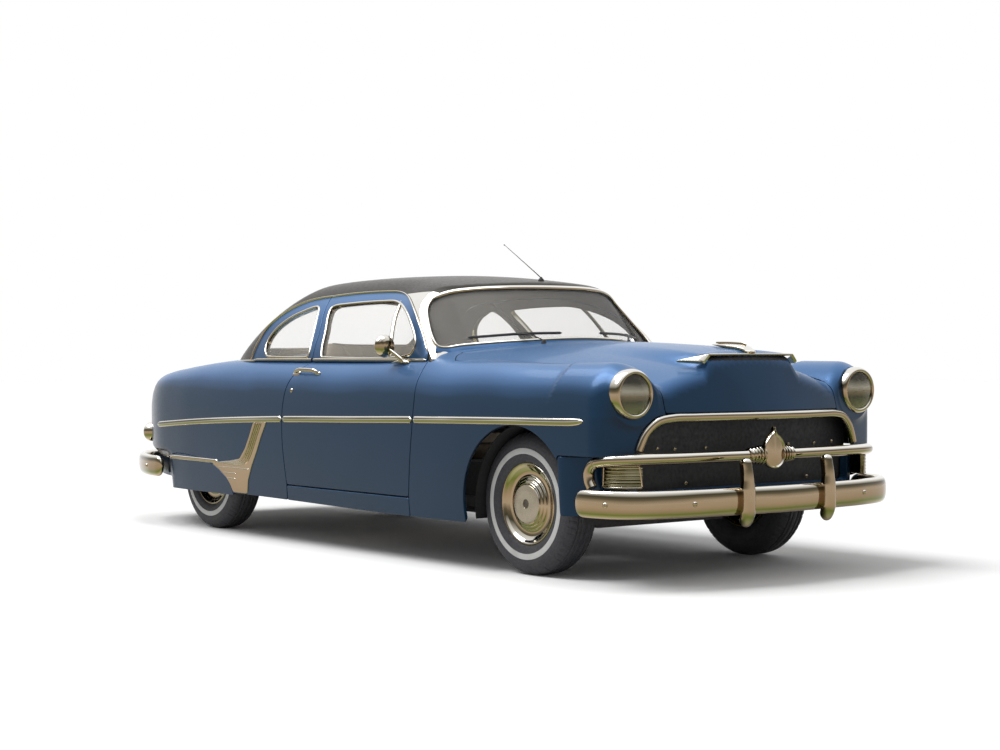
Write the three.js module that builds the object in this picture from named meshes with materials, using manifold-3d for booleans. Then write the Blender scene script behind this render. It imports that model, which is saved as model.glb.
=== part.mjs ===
// Two-door coupe of the 1950s. Millimetres, X forward, Y to the left, Z up.
// The origin is on the ground under the middle of the car's overall length.
import * as THREE from "three";
import { mergeVertices } from "three/addons/utils/BufferGeometryUtils.js";
import Module from "manifold-3d";

const wasm = await Module();
wasm.setup();

// ---------------------------------------------------------------- driving dimensions
const FRONT_AXLE_X = 1645;
const REAR_AXLE_X = -1502;
const FRONT_TRACK = 1470;
const REAR_TRACK = 1394;
const TYRE_RADIUS = 350;
const HALF_LENGTH = 2645;

const PANEL = 18; // hood, lids and outer panels
const CABIN_WALL = 90; // doors and lower cabin sides
const FRAME_WALL = 36; // roof and window frames
const SEAM = 3; // gap at a fixed seam
const SHUT_GAP = 6; // gap round a piece that moves
const GLASS = 6;

// ---------------------------------------------------------------- body section tables
// half width of the body side by height: [z, halfWidth]
const SIDE_PROFILE = [
  [150, 930], [240, 940], [350, 950], [500, 960], [650, 966], [750, 967],
  [850, 958], [920, 937], [970, 907], [1010, 876], [1060, 838], [1150, 740],
];
// how far the side draws in from that profile: [x, inset]
const SIDE_INSET = [
  [-2650, 440], [-2480, 305], [-2400, 250], [-2234, 168], [-2050, 82], [-1900, 42],
  [-1700, 24], [-1502, 12], [-900, 2], [1045, 0], [1645, 6], [2045, 12], [2345, 24], [2650, 110],
];
// how far the shoulder sinks below its height at the doors: [x, drop]
const SHOULDER_DROP = [
  [-2600, 150], [-2400, 90], [-2125, 25], [-1731, 12], [-1454, 8], [-1000, 2],
  [-500, 0], [1200, 0], [1800, 6], [2350, 12], [2650, 16],
];
// height of deck, cowl and hood on the centre line: [x, z]
const TOP_CENTRE = [
  [-2650, 860], [-2545, 895], [-2450, 928], [-2300, 965], [-2000, 1012], [-1700, 1047],
  [-1300, 1082], [-900, 1095], [-300, 1085], [300, 1110], [863, 1165], [1130, 1152],
  [1500, 1138], [1900, 1102], [2150, 1070], [2366, 1033], [2650, 990],
];
// how much lower the same surface is at 650 from the centre line: [x, drop]
const TOP_CROWN = [
  [-2650, 34], [-700, 34], [300, 50], [863, 60], [1130, 75], [1500, 95], [1900, 118],
  [2366, 148], [2650, 160],
];
// the raised middle of the hood: [x, height] and [x, how softly its edges roll]
const BULGE_HEIGHT = [[-2650, 0], [1200, 0], [1500, 6], [1900, 26], [2150, 44], [2366, 63], [2650, 84]];
const BULGE_EDGE = [[-2650, 170], [1200, 170], [1700, 110], [2100, 60], [2366, 30], [2650, 30]];
const BULGE_HALF = 300;
// height of the fender crown: [x, z]
const FENDER_CROWN = [
  [-2650, 600], [-1500, 960], [-900, 1038], [-300, 1046], [1300, 1046], [1800, 1036],
  [2350, 1032], [2650, 1024],
];
// how broad the fender crown is: [x, width]
const CROWN_WIDTH = [[-2650, 408], [1300, 408], [1900, 333], [2350, 267], [2650, 262]];
// lower edge of the body side: [x, z]
const BODY_BOTTOM = [
  [-2650, 330], [-1900, 310], [-1303, 280], [-995, 258], [-245, 250], [845, 238],
  [1295, 240], [1700, 270], [2100, 315], [2650, 325],
];
// half width of the greenhouse by height: [z, halfWidth]
const GLASS_PROFILE = [
  [900, 880], [1000, 856], [1045, 841], [1100, 819], [1200, 765], [1300, 705], [1400, 640],
  [1500, 572], [1600, 500],
];
// how far the greenhouse side draws in towards the rear: [x, inset]
const GLASS_INSET = [[-1500, 240], [-1300, 130], [-1100, 50], [-912, 8], [-600, 0], [1200, 0]];
// roof height on the centre line: [x, z]
const ROOF_CENTRE = [
  [-1500, 1340], [-1200, 1436], [-1000, 1478], [-800, 1509], [-500, 1530], [-250, 1534],
  [100, 1530], [400, 1516], [755, 1484], [1000, 1450], [1200, 1415],
];

// a smooth curve through [t, value] rows that never overshoots them
function curve(rows) {
  const n = rows.length;
  const step = rows.slice(1).map((r, i) => (r[1] - rows[i][1]) / (r[0] - rows[i][0]));
  const slope = rows.map((_, i) => {
    if (i === 0) return step[0];
    if (i === n - 1) return step[n - 2];
    return step[i - 1] * step[i] <= 0 ? 0 : (2 * step[i - 1] * step[i]) / (step[i - 1] + step[i]);
  });
  return (t) => {
    if (t <= rows[0][0]) return rows[0][1] + slope[0] * (t - rows[0][0]);
    if (t >= rows[n - 1][0]) return rows[n - 1][1] + slope[n - 1] * (t - rows[n - 1][0]);
    let i = 0;
    while (t > rows[i + 1][0]) i++;
    const h = rows[i + 1][0] - rows[i][0];
    const s = (t - rows[i][0]) / h;
    const a = (1 - s) * (1 - s);
    return (
      a * (1 + 2 * s) * rows[i][1] + a * s * h * slope[i] +
      s * s * (3 - 2 * s) * rows[i + 1][1] - s * s * (1 - s) * h * slope[i + 1]
    );
  };
}
const sideProfile = curve(SIDE_PROFILE);
const sideInset = curve(SIDE_INSET);
const shoulderDrop = curve(SHOULDER_DROP);
const topCentre = curve(TOP_CENTRE);
const topCrown = curve(TOP_CROWN);
const bulgeHeight = curve(BULGE_HEIGHT);
const bulgeEdge = curve(BULGE_EDGE);
const fenderCrown = curve(FENDER_CROWN);
const crownWidth = curve(CROWN_WIDTH);
const bodyBottom = curve(BODY_BOTTOM);
const glassProfile = curve(GLASS_PROFILE);
const glassInset = curve(GLASS_INSET);
const roofCentre = curve(ROOF_CENTRE);

// ---------------------------------------------------------------- the body as a formula
// Each function is below zero inside the car; a is the distance from the centre line.
const roundMax = (f, g, r) => Math.max(f, g) + (r / 4) * Math.max(0, 1 - Math.abs(f - g) / r) ** 2;
const roundMin = (f, g, r) => -roundMax(-f, -g, r);

const ramp = (t) => THREE.MathUtils.smoothstep(t, 0, 1);
// the side tucks in behind the ends of the rear bumper
const tuck = (x, z) => 45 * ramp((-1720 - x) / 160) * ramp((490 - z) / 60);
function bodyHalfWidth(x, z) {
  const shoulder = z < 650 ? z : 650 + ((z - 650) * 395) / (395 - shoulderDrop(x));
  return sideProfile(shoulder) - sideInset(x) - tuck(x, z);
}
function bodyTop(x, a) {
  const bulge = bulgeHeight(x) * (1 - ramp((a - BULGE_HALF) / (2 * bulgeEdge(x)) + 0.5));
  const middle = topCentre(x) - topCrown(x) * (a / 650) ** 2 + bulge;
  return roundMax(middle, fenderCrown(x) - 200 * ((a - 785) / crownWidth(x)) ** 2, 25);
}
const noseX = (a, z) => 2445 - 88 * (a / 739) ** 2 - 0.28 * Math.max(0, z - 790);
const tailX = (a, z) => -2560 + 0.00018 * a * a + 0.25 * Math.max(0, z - 800);

// the short barrel round the headlamp that the fender runs out into
const HEADLAMP = { x: 2376, y: 772, z: 894, radius: 115 };
function nacelle(x, a, z) {
  const barrel = Math.hypot(a - HEADLAMP.y, z - HEADLAMP.z) - HEADLAMP.radius + 2;
  return Math.max(barrel, Math.abs(x - HEADLAMP.x + 198) - 150);
}
function lowerBody(x, a, z) {
  const side = roundMax(a - bodyHalfWidth(x, z), z - bodyTop(x, a), 70);
  const whole = roundMax(roundMax(side, x - noseX(a, z), 60), tailX(a, z) - x, 100);
  return Math.max(roundMin(whole, nacelle(x, a, z), 80), 120 - z);
}
// the body under the grille, drawn in so that bumper and grille bar pass round it
function apronBody(x, a, z) {
  const side = a - bodyHalfWidth(x, z) + 88 * ramp((x - 2040) / 150);
  return Math.max(roundMax(side, x - noseX(a, z) + 45, 100), 120 - z, z - 640);
}

const SCREEN_SLOPE = 225 / 290;
function screenX(a, z) {
  const reach = roundMin(a, 700, 60);
  return 1145 - SCREEN_SLOPE * (z - 1150) - (0.00068 + 0.35e-6 * (z - 1128)) * reach * reach;
}
const backlightX = (a, z) => -1452 + 1.45 * (z - 1090) + 215 * (a / 750) ** 2.5;

function greenhouse(x, a, z) {
  const fuller = 30 * ramp((x - 250) / 400) * ramp((z - 1080) / 200);
  const side = a - glassProfile(z) + glassInset(x) - fuller;
  const roof = z - roofCentre(x) + 60 * (a / 600) ** 2;
  const shell = roundMax(side, roof, 188 - 78 * ramp((x - 150) / 500));
  return roundMax(roundMax(shell, x - screenX(a, z), 40), backlightX(a, z) - x, 150);
}

// ---------------------------------------------------------------- solids
function solid(geometry) {
  const g = geometry.clone();
  g.deleteAttribute("normal");
  g.deleteAttribute("uv");
  const merged = mergeVertices(g, 1e-3);
  const mesh = new wasm.Mesh({
    numProp: 3,
    vertProperties: new Float32Array(merged.attributes.position.array),
    triVerts: new Uint32Array(merged.index.array),
  });
  return new wasm.Manifold(mesh);
}
function geometryOf(manifold) {
  const m = manifold.getMesh();
  const v = new Float32Array(m.numVert * 3);
  for (let i = 0; i < m.numVert; i++) {
    const start = i * m.numProp;
    v.set(m.vertProperties.subarray(start, start + 3), i * 3);
  }
  const g = new THREE.BufferGeometry().setAttribute("position", new THREE.BufferAttribute(v, 3));
  g.setIndex(new THREE.BufferAttribute(m.triVerts, 1));
  g.computeVertexNormals();
  return g;
}
const join = (...parts) => parts.reduce((a, b) => a.add(b));
// the largest body of a cut, without the slivers beside it
const largest = (manifold) => manifold.decompose().reduce((a, b) => (b.volume() > a.volume() ? b : a));

const shapeOf = (points) => new THREE.Shape(points.map(([u, v]) => new THREE.Vector2(u, v)));
const extrusion = (points, depth) =>
  new THREE.ExtrudeGeometry(shapeOf(points), { depth, bevelEnabled: false, curveSegments: 8 });
// an outline in x,z carried from y0 to y1
function prismY(points, y0, y1) {
  return solid(extrusion(points, y1 - y0).rotateX(Math.PI / 2).translate(0, y1, 0));
}
// an outline in x,y carried from z0 to z1
const prismZ = (points, z0, z1) => solid(extrusion(points, z1 - z0).translate(0, 0, z0));
// an outline in y,z carried from x0 to x1
function prismX(points, x0, x1) {
  const turn = new THREE.Matrix4().set(0, 0, 1, x0, 1, 0, 0, 0, 0, 1, 0, 0, 0, 0, 0, 1);
  return solid(extrusion(points, x1 - x0).applyMatrix4(turn));
}
const box = (x0, x1, y0, y1, z0, z1) => prismZ([[x0, y0], [x1, y0], [x1, y1], [x0, y1]], z0, z1);
const mirrored = (manifold) => manifold.mirror([0, 1, 0]);
const WIDE = 1200;
const slab = (x0, x1, z0 = 0, z1 = 2000) => box(x0, x1, -WIDE, WIDE, z0, z1);

// an outline moved outwards by a distance, corner by corner
function grown(points, distance) {
  const area = points.reduce((s, p, i) => {
    const q = points[(i + 1) % points.length];
    return s + p[0] * q[1] - q[0] * p[1];
  }, 0);
  const side = Math.sign(area) * distance;
  return points.map((p, i) => {
    const before = points[(i + points.length - 1) % points.length];
    const after = points[(i + 1) % points.length];
    const u = new THREE.Vector2(p[0] - before[0], p[1] - before[1]).normalize();
    const w = new THREE.Vector2(after[0] - p[0], after[1] - p[1]).normalize();
    const k = side / Math.max(0.35, 1 + u.dot(w));
    return [p[0] + k * (u.y + w.y), p[1] - k * (u.x + w.x)];
  });
}
// a smooth open curve through a few points, as a list of points
function through(points, count) {
  const corners = points.map(([u, v]) => new THREE.Vector3(u, v, 0));
  const path = new THREE.CatmullRomCurve3(corners, false, "centripetal");
  return path.getPoints(count).map((p) => [p.x, p.y]);
}

// ---------------------------------------------------------------- ray-cast skins
// Distance from a point along a direction to where the formula reaches a level.
function reach(formula, level, origin, direction, far) {
  let near = 0;
  let out = far;
  for (let i = 0; i < 40; i++) {
    const mid = (near + out) / 2;
    const p = origin.map((o, k) => o + direction[k] * mid);
    if (formula(p[0], Math.abs(p[1]), p[2]) < level) near = mid;
    else out = mid;
  }
  return origin.map((o, k) => o + direction[k] * near);
}
// A closed skin: rings of rays round a spine along X, capped by rays that lean to each end.
function skin(formula, level, { z, stations, angles, leans }) {
  const rings = [];
  const ring = (x, lean) =>
    angles.map((t) => {
      const c = Math.cos(lean);
      const direction = [Math.sin(lean), c * Math.cos(t), c * Math.sin(t)];
      return reach(formula, level, [x, 0, z], direction, 2000);
    });
  const first = stations[0];
  const last = stations[stations.length - 1];
  [...leans].reverse().forEach((lean) => rings.push(ring(first, -lean)));
  stations.forEach((x) => rings.push(ring(x, 0)));
  leans.forEach((lean) => rings.push(ring(last, lean)));
  const tail = reach(formula, level, [first, 0, z], [-1, 0, 0], 2000);
  const nose = reach(formula, level, [last, 0, z], [1, 0, 0], 2000);
  return solid(ringSurface(rings, tail, nose));
}
// Triangles between neighbouring rings of equal length, with a point at each end.
// The quads split the same way on both sides of the car.
function ringSurface(rings, start, end) {
  const n = rings[0].length;
  const position = [start, ...rings.flat(), end].flat();
  const index = [];
  const at = (r, i) => 1 + r * n + (i % n);
  for (let i = 0; i < n; i++) {
    index.push(0, at(0, i + 1), at(0, i));
    index.push(1 + rings.length * n, at(rings.length - 1, i), at(rings.length - 1, i + 1));
    for (let r = 0; r + 1 < rings.length; r++) {
      const [a, b, c, d] = [at(r, i), at(r, i + 1), at(r + 1, i + 1), at(r + 1, i)];
      const right = rings[r][i][1] + rings[r][(i + 1) % n][1] < -1e-6;
      index.push(...(right ? [a, b, d, b, c, d] : [a, b, c, a, c, d]));
    }
  }
  const g = new THREE.BufferGeometry();
  g.setAttribute("position", new THREE.Float32BufferAttribute(position, 3));
  return g.setIndex(index);
}
const degrees = (list) => list.map((d) => (d * Math.PI) / 180);
const range = (from, to, count) =>
  Array.from({ length: count + 1 }, (_, i) => from + ((to - from) * i) / count);
const bothSides = (half) => [...half, ...half.slice(0, -1).reverse().map((d) => 180 - d)];

const BODY_FINE = {
  z: 620,
  stations: [
    ...range(-2420, -1500, 7), ...range(-1180, 900, 5), ...range(1100, 2160, 6), 2215, 2260, 2295, 2320,
  ],
  angles: degrees([...bothSides([-60, -27, -19, -6, 7, 12, 17, 21, 25, 29, 34, 41, 49, 54, 60, 90]), 270]),
  leans: degrees([1.5, 3.5, 5.5, 8, 11, 16, 26, 50]),
};
const APRON_GRID = {
  z: 520,
  stations: range(1900, 2250, 8),
  angles: degrees([...bothSides([-60, -20, -8, 3, 9, 30, 90]), 270]),
  leans: degrees([8, 14, 20, 26, 32, 38, 45, 54, 66, 78]),
};
const BODY_COARSE = {
  z: 620,
  stations: [...range(-2400, -1500, 4), -900, ...range(-300, 900, 2), ...range(1200, 2300, 5)],
  angles: degrees([...bothSides([-60, -27, -14, 3, 15, 21, 27, 34, 46, 56, 90]), 270]),
  leans: degrees([2.5, 6, 11, 22, 50]),
};
const CABIN_FINE = {
  z: 1080,
  stations: range(-900, 600, 6),
  angles: degrees([...bothSides([-38, -13, 4, 15, 23, 30, 37, 47, 64, 90]), 240, 300]),
  leans: degrees([13, 26, 39, 52, 68]),
};
const CABIN_COARSE = {
  z: 1080,
  stations: range(-880, 580, 5),
  angles: degrees([...bothSides([-38, -13, 4, 18, 27, 36, 50, 90]), 240, 300]),
  leans: degrees([15, 32, 50, 70]),
};
const bodySkin = (level, grid = BODY_COARSE) => skin(lowerBody, level, grid);
function cabinSkin(level, floor, grid = CABIN_COARSE) {
  const formula = (x, a, z) => Math.max(greenhouse(x, a, z), 860 - z);
  return skin(formula, level, grid).intersect(slab(-3000, 3000, floor));
}

// ---------------------------------------------------------------- outlines of the panels
const BELT = 1045;
const FIREWALL_X = 985;
const BULKHEAD_X = -1090;
const SILL_TOP = 334;
const APRON_X = 2030;
const APRON_TOP = 605;

// door: rear edge upwards, along the roof rail and down the front edge [x, z]
const DOOR_REAR = [
  [-352, SILL_TOP + SHUT_GAP], [-377, 600], [-368, 800], [-345, 930], [-295, 1012], [-250, 1050],
  [-300, 1215], [-385, 1360], [-418, 1410],
];
const ROOF_RAIL = [
  [-248, 1423], [50, 1428], [262, 1421], [400, 1394], [510, 1354], [622, 1294], [721, 1216], [839, 1092],
];
const DOOR_FRONT = [[852, 1040], [880, 945], [900, 840], [893, 720], [868, 560], [836, SILL_TOP + SHUT_GAP]];
const DOOR = [...through(DOOR_REAR, 14), ...through(ROOF_RAIL, 12), ...through(DOOR_FRONT, 8)];
// window frames of door and quarter together, under the roof rail
const REAR_RAIL = [[-940, 1040], [-916, 1220], [-835, 1305], [-677, 1378], [-521, 1405], [-418, 1414]];
const SIDE_FRAMES = [...through(REAR_RAIL, 10), ...through(ROOF_RAIL, 12), [870, 1040]];
const DOOR_WINDOW = through([
  [-162, 1063], [-239, 1214], [-312, 1342], [-294, 1354], [-142, 1366], [153, 1373], [300, 1369], [432, 1336],
  [560, 1275], [655, 1200], [700, 1134], [694, 1086], [635, 1067], [-140, 1061],
], 26);
const QUARTER_WINDOW = through([
  [-655, 1062], [-760, 1070], [-812, 1120], [-815, 1180], [-780, 1235], [-700, 1290], [-600, 1328],
  [-462, 1352], [-400, 1290], [-330, 1150], [-304, 1068], [-330, 1062], [-630, 1061],
], 26);
// windows in the front and rear view, one half [y, z]
const SCREEN_HALF = [
  [0, 1168], [400, 1152], [620, 1132], [722, 1118], [757, 1126], [756, 1170], [731, 1244], [699, 1315],
  [649, 1372], [576, 1406], [468, 1425], [300, 1435], [0, 1438],
];
const BACKLIGHT_HALF = [
  [0, 1116], [350, 1114], [500, 1118], [555, 1140], [560, 1180], [530, 1250], [470, 1330], [390, 1375],
  [230, 1402], [0, 1410],
];
const wholeOf = (half) => [...half, ...half.slice(1, -1).reverse().map(([y, z]) => [-y, z])];
const SCREEN = wholeOf(through(SCREEN_HALF, 20));
const BACKLIGHT = wholeOf(through(BACKLIGHT_HALF, 14));
const GRILLE_HALF = [
  [0, 798], [560, 798], [646, 785], [709, 731], [745, 660], [754, 600], [754, 432], [0, 432],
];
const GRILLE_OPENING = wholeOf(GRILLE_HALF);

// hood and trunk lid in plan, one half [x, y]
const HOOD_HALF = [
  [1190, 0], [1150, 240], [1058, 440], [985, 600], [964, 690], [985, 745], [1057, 811], [1500, 728],
  [2000, 642], [2330, 590], [2620, 590], [2620, 0],
];
const LID_HALF = [[-1500, 0], [-1500, 500], [-1560, 560], [-2200, 560], [-2350, 530], [-2620, 520], [-2620, 0]];
const wholePlan = (half) => [...half, ...half.slice(1, -1).reverse().map(([x, y]) => [x, -y])];
const HOOD_FRONT_Z = 804;
const LID_REAR_Z = 600;
const FRONT_ARCH = { x: 1708, z: 330, rx: 405, rz: 407 };
const SKIRT = [
  [-962, 240], [-987, 300], [-1026, 340], [-1103, 382], [-1196, 420], [-1240, 434], [-1755, 438], [-1772, 240],
];
const HINGE = { x: 838, y: 972 }; // door hinge axis

function archOutline({ x, z, rx, rz }) {
  const top = range(0, Math.PI, 14).map((t) => [x + rx * Math.cos(t), z + rz * Math.sin(t)]);
  return [...top, [x - rx, 0], [x + rx, 0]];
}
const skinHalfWidth = (x, z) => (z < BELT ? bodyHalfWidth(x, z) : glassProfile(z) - glassInset(x));
// The door's rear edge leans so that it leaves the pillar as the door swings.
function doorPrism(outline, depth) {
  const share = (x) => THREE.MathUtils.clamp((-100 - x) / 140, 0, 1);
  const lean = (x, a) => share(x) * (0.03 + (1.3 * Math.max(0, HINGE.y - a)) / (HINGE.x - x));
  const ring = (depth) =>
    outline.map(([x, z]) => {
      const a = skinHalfWidth(x, z);
      return [x - lean(x, a) * depth, a + depth, z];
    });
  const faces = THREE.ShapeUtils.triangulateShape(outline.map(([x, z]) => new THREE.Vector2(x, z)), []);
  const n = outline.length;
  const index = [];
  faces.forEach(([a, b, c]) => index.push(a, c, b, a + n, b + n, c + n));
  outline.forEach((_, i) => {
    const j = (i + 1) % n;
    index.push(i, j + n, j, i, i + n, j + n);
  });
  const g = new THREE.BufferGeometry();
  g.setAttribute("position", new THREE.Float32BufferAttribute([...ring(420), ...ring(-depth)].flat(), 3));
  return solid(g.setIndex(index));
}

// ---------------------------------------------------------------- turned pieces
// revolves a closed profile [radius, along] about an axis along X through a place
function turnedX(profile, x, y, z, segments) {
  const g = new THREE.LatheGeometry(profile.map(([r, t]) => new THREE.Vector2(r, t)), segments);
  return outward(g.rotateZ(-Math.PI / 2).translate(x, y, z));
}
function turnedY(profile, x, y, z, segments) {
  const g = new THREE.LatheGeometry(profile.map(([r, t]) => new THREE.Vector2(r, t)), segments);
  return outward(g.translate(x, y, z));
}
// a revolved profile may run either way round: the solid always faces out
function outward(geometry) {
  const made = solid(geometry);
  if (made.volume() > 0) return made;
  const flipped = geometry.clone();
  const index = flipped.index.array;
  for (let i = 0; i < index.length; i += 3) [index[i + 1], index[i + 2]] = [index[i + 2], index[i + 1]];
  return solid(flipped);
}

// ---------------------------------------------------------------- the body shell and its panels
const FLOOR_Z = 262;
// the way through floor and bulkheads for the propeller shaft
const TUNNEL = [[-130, 0], [130, 0], [130, 264], [100, 452], [-100, 452], [-130, 264]];
const SHAFT_TUNNEL = prismX(TUNNEL, -1200, 1100);
const outer = bodySkin(0, BODY_FINE).subtract(belowBody());
const thinInner = bodySkin(-PANEL);
const cabinOuter = cabinSkin(0, BELT - 5, CABIN_FINE);

// everything under the body's lower edge
function belowBody() {
  const edge = range(2650, -2650, 26).map((x) => [x, bodyBottom(x)]);
  return prismY([[-2650, 0], [2650, 0], ...edge], -WIDE, WIDE);
}
// the shell is open underneath: floor, frame and axles close it as pieces of their own
function bodyShell() {
  const ends = join(slab(-3000, BULKHEAD_X), slab(FIREWALL_X, 3000));
  const cabinVoid = cabinSkin(-FRAME_WALL, 900).subtract(outer.intersect(ends));
  const lowerVoid = bodySkin(-CABIN_WALL).intersect(slab(BULKHEAD_X, FIREWALL_X));
  const engineVoid = thinInner.intersect(slab(FIREWALL_X + 20, 3000));
  const trunkVoid = thinInner.intersect(slab(-3000, BULKHEAD_X - 15));
  return join(outer, cabinOuter)
    .subtract(join(cabinVoid, lowerVoid, engineVoid, trunkVoid))
    .subtract(box(BULKHEAD_X - 15, FIREWALL_X + 20, -820, 820, 0, FLOOR_Z + 20))
    .subtract(prismY(archOutline(FRONT_ARCH), -WIDE, WIDE))
    .subtract(prismX(GRILLE_OPENING, 2200, 2700));
}

const COLOUR = {
  body: [0x24496e, 0.3, 0.2],
  roof: [0x241f1b, 0.25, 0.2],
  chrome: [0xc9c4b8, 0.15, 1],
  glass: [0x9fb0b5, 0.05, 0],
  rubber: [0x17181a, 0.8, 0],
  black: [0x141416, 0.6, 0.1],
  steel: [0x3c3d40, 0.6, 0.6],
  fabric: [0xb9b2a4, 0.9, 0],
  lamp: [0xd8dde0, 0.1, 0.1],
  red: [0x8a1414, 0.2, 0],
};
const group = new THREE.Group();
function addPart(name, manifold, look) {
  const [colour, roughness, metalness] = COLOUR[look];
  const material = new THREE.MeshStandardMaterial({ color: colour, roughness, metalness });
  const mesh = new THREE.Mesh(geometryOf(largest(manifold)), material);
  mesh.name = name;
  group.add(mesh);
}
// right is the built side mirrored
const SIDES = [["right", (m) => mirrored(m)], ["left", (m) => m]];
const addPair = (name, manifold, look) =>
  SIDES.forEach(([side, place]) => addPart(side + "_" + name, place(manifold), look));

function addBodyPanels() {
  let rest = bodyShell();
  const leftOnly = box(-3000, 3000, 1, WIDE, 0, 2000);
  const take = (cutter, wider) => {
    const piece = rest.intersect(cutter);
    rest = rest.subtract(wider);
    return piece;
  };
  const liftOut = bodySkin(70).subtract(bodySkin(-PANEL - 8));
  for (const [name, half, z] of [["hood", HOOD_HALF, HOOD_FRONT_Z], ["trunk_lid", LID_HALF, LID_REAR_Z]]) {
    const plan = wholePlan(half);
    addPart(name, outer.subtract(thinInner).intersect(prismZ(plan, z, 1400)), "body");
    rest = rest.subtract(prismZ(grown(plan, SHUT_GAP), z - SHUT_GAP, 1400).intersect(liftOut));
  }
  const doorCut = doorPrism(DOOR, 230);
  const doorGap = doorPrism(grown(DOOR, SHUT_GAP), 290);
  const doorWindow = prismY(DOOR_WINDOW, 300, WIDE);
  addPair("door", rest.intersect(doorCut).subtract(doorWindow), "body");
  rest = rest.subtract(doorGap).subtract(mirrored(doorGap));

  const aboveBelt = slab(-1600, 1300, BELT + 2, 1700).subtract(outer);
  const frames = prismY(SIDE_FRAMES, -WIDE, WIDE);
  const framesGap = prismY(grown(SIDE_FRAMES, SEAM), -WIDE, WIDE);
  const roofCut = aboveBelt.subtract(join(bodySkin(1.5, BODY_FINE), framesGap));
  const windows = join(prismX(SCREEN, 250, 1400), prismX(BACKLIGHT, -1700, -650));
  addPart("roof_panel", take(roofCut, aboveBelt.subtract(frames)).subtract(windows), "roof");

  const sill = box(-352, 836, 700, WIDE, 0, SILL_TOP - SEAM / 2);
  const left = rest.intersect(leftOnly);
  const sillGap = box(-352 - SEAM, 836 + SEAM, 700, WIDE, 0, SILL_TOP + 2);
  addPair("sill", left.intersect(sill), "body");
  addPair("fender_skirt", left.intersect(prismY(SKIRT, 880, WIDE)), "body");

  const quarterPlan = [
    [-3000, 566], [-1480, 566], [-1480, 640], [-1070, 690], [-1070, 0], [-200, 0], [-200, WIDE], [-3000, WIDE],
  ];
  const bulkhead = box(-1125, -1070, 0, 790, 0, 1040);
  const bulkheadGap = box(-1127, -1068, 0, 792, 0, 1042);
  const quarter = left
    .intersect(prismZ(quarterPlan, 0, 2000).subtract(bulkheadGap))
    .subtract(join(sillGap, prismY(grown(SKIRT, SEAM), 860, WIDE), prismY(QUARTER_WINDOW, 300, WIDE)));
  addPair("quarter_panel", quarter, "body");

  const tailPanel = slab(-3000, -2000, 0, LID_REAR_Z - SHUT_GAP).intersect(box(-3000, 0, -563, 563, 0, 2000));
  addPart("tail_panel", rest.intersect(tailPanel), "body");
  const deckPlan = wholePlan([[-1494, 0], [-1494, 563], [-1477, 563], [-1477, 637], [-1073, 687], [-1073, 0]]);
  const deck = rest.intersect(join(prismZ(deckPlan, 400, 1300), mirrored(bulkhead), bulkhead));
  addPart("rear_deck_panel", deck.subtract(join(tailPanel, aboveBelt, SHAFT_TUNNEL)), "body");

  const fenderPlan = [[600, 690], [863, 690], [1010, 690], [1010, 0], [3000, 0], [3000, WIDE], [600, WIDE]];
  const firewallPlan = [[975, 0], [1012, 0], [1012, 690], [975, 690]];
  const cowlPlan = wholePlan([[500, 0], [500, 687], [1007, 687], [1200, 400], [1200, 0]]);
  const behind = join(prismZ(firewallPlan, 0, 2000), prismZ(grown(cowlPlan, SEAM), 0, 2000));
  const { x, y, z, radius } = HEADLAMP;
  const bucket = [[0, -200], [101, -200], [101, -48], [radius + 2, -46], [radius + 2, 60], [0, 60]];
  const lampHole = turnedX(bucket, x, y, z, 16);
  const fender = left
    .intersect(prismZ(fenderPlan, 0, 2000).subtract(behind))
    .subtract(join(box(APRON_X - SEAM, 3000, 0, WIDE, 0, APRON_TOP), sillGap, aboveBelt, lampHole))
    .subtract(grilleBar(GRILLE_BAR_RADIUS + 3));
  addPair("front_fender", fender, "body");
  const apron = skin(apronBody, 0, APRON_GRID).subtract(skin(apronBody, -PANEL, APRON_GRID));
  const apronRoom = slab(APRON_X, 3000, 0, APRON_TOP - SEAM).subtract(prismX(GRILLE_OPENING, 2200, 2700));
  addPart("front_apron", apron.intersect(apronRoom).subtract(belowBody()), "body");
  const cowl = rest.intersect(prismZ(cowlPlan, 0, 2000));
  addPart("cowl", cowl.subtract(join(slab(0, 3000, 0, FLOOR_Z + 20), SHAFT_TUNNEL)), "body");
  return join(doorGap, mirrored(doorGap));
}

// ---------------------------------------------------------------- windows
function addWindows(doorGaps) {
  const pane = cabinSkin(-12, BELT).subtract(cabinSkin(-12 - GLASS, BELT - 50));
  const clear = (outline) => grown(outline, -2);
  const screen = prismX(clear(SCREEN), 250, 1400).subtract(join(outer, doorGaps));
  addPart("windshield", pane.intersect(screen), "glass");
  addPart("rear_window", pane.intersect(prismX(clear(BACKLIGHT), -1700, -650)).subtract(outer), "glass");
  addPair("door_glass", pane.intersect(prismY(clear(DOOR_WINDOW), 300, WIDE)), "glass");
  addPair("quarter_glass", pane.intersect(prismY(clear(QUARTER_WINDOW), 300, WIDE)), "glass");
}

// ---------------------------------------------------------------- swept bars
// A closed solid through rings of points, whichever way round the rings were listed.
function closedRings(rings) {
  const middle = (ring) => [0, 1, 2].map((k) => ring.reduce((s, p) => s + p[k], 0) / ring.length);
  const surface = (list) => solid(ringSurface(list, middle(list[0]), middle(list[list.length - 1])));
  const made = surface(rings);
  return made.volume() > 0 ? made : surface([...rings].reverse());
}
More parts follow.
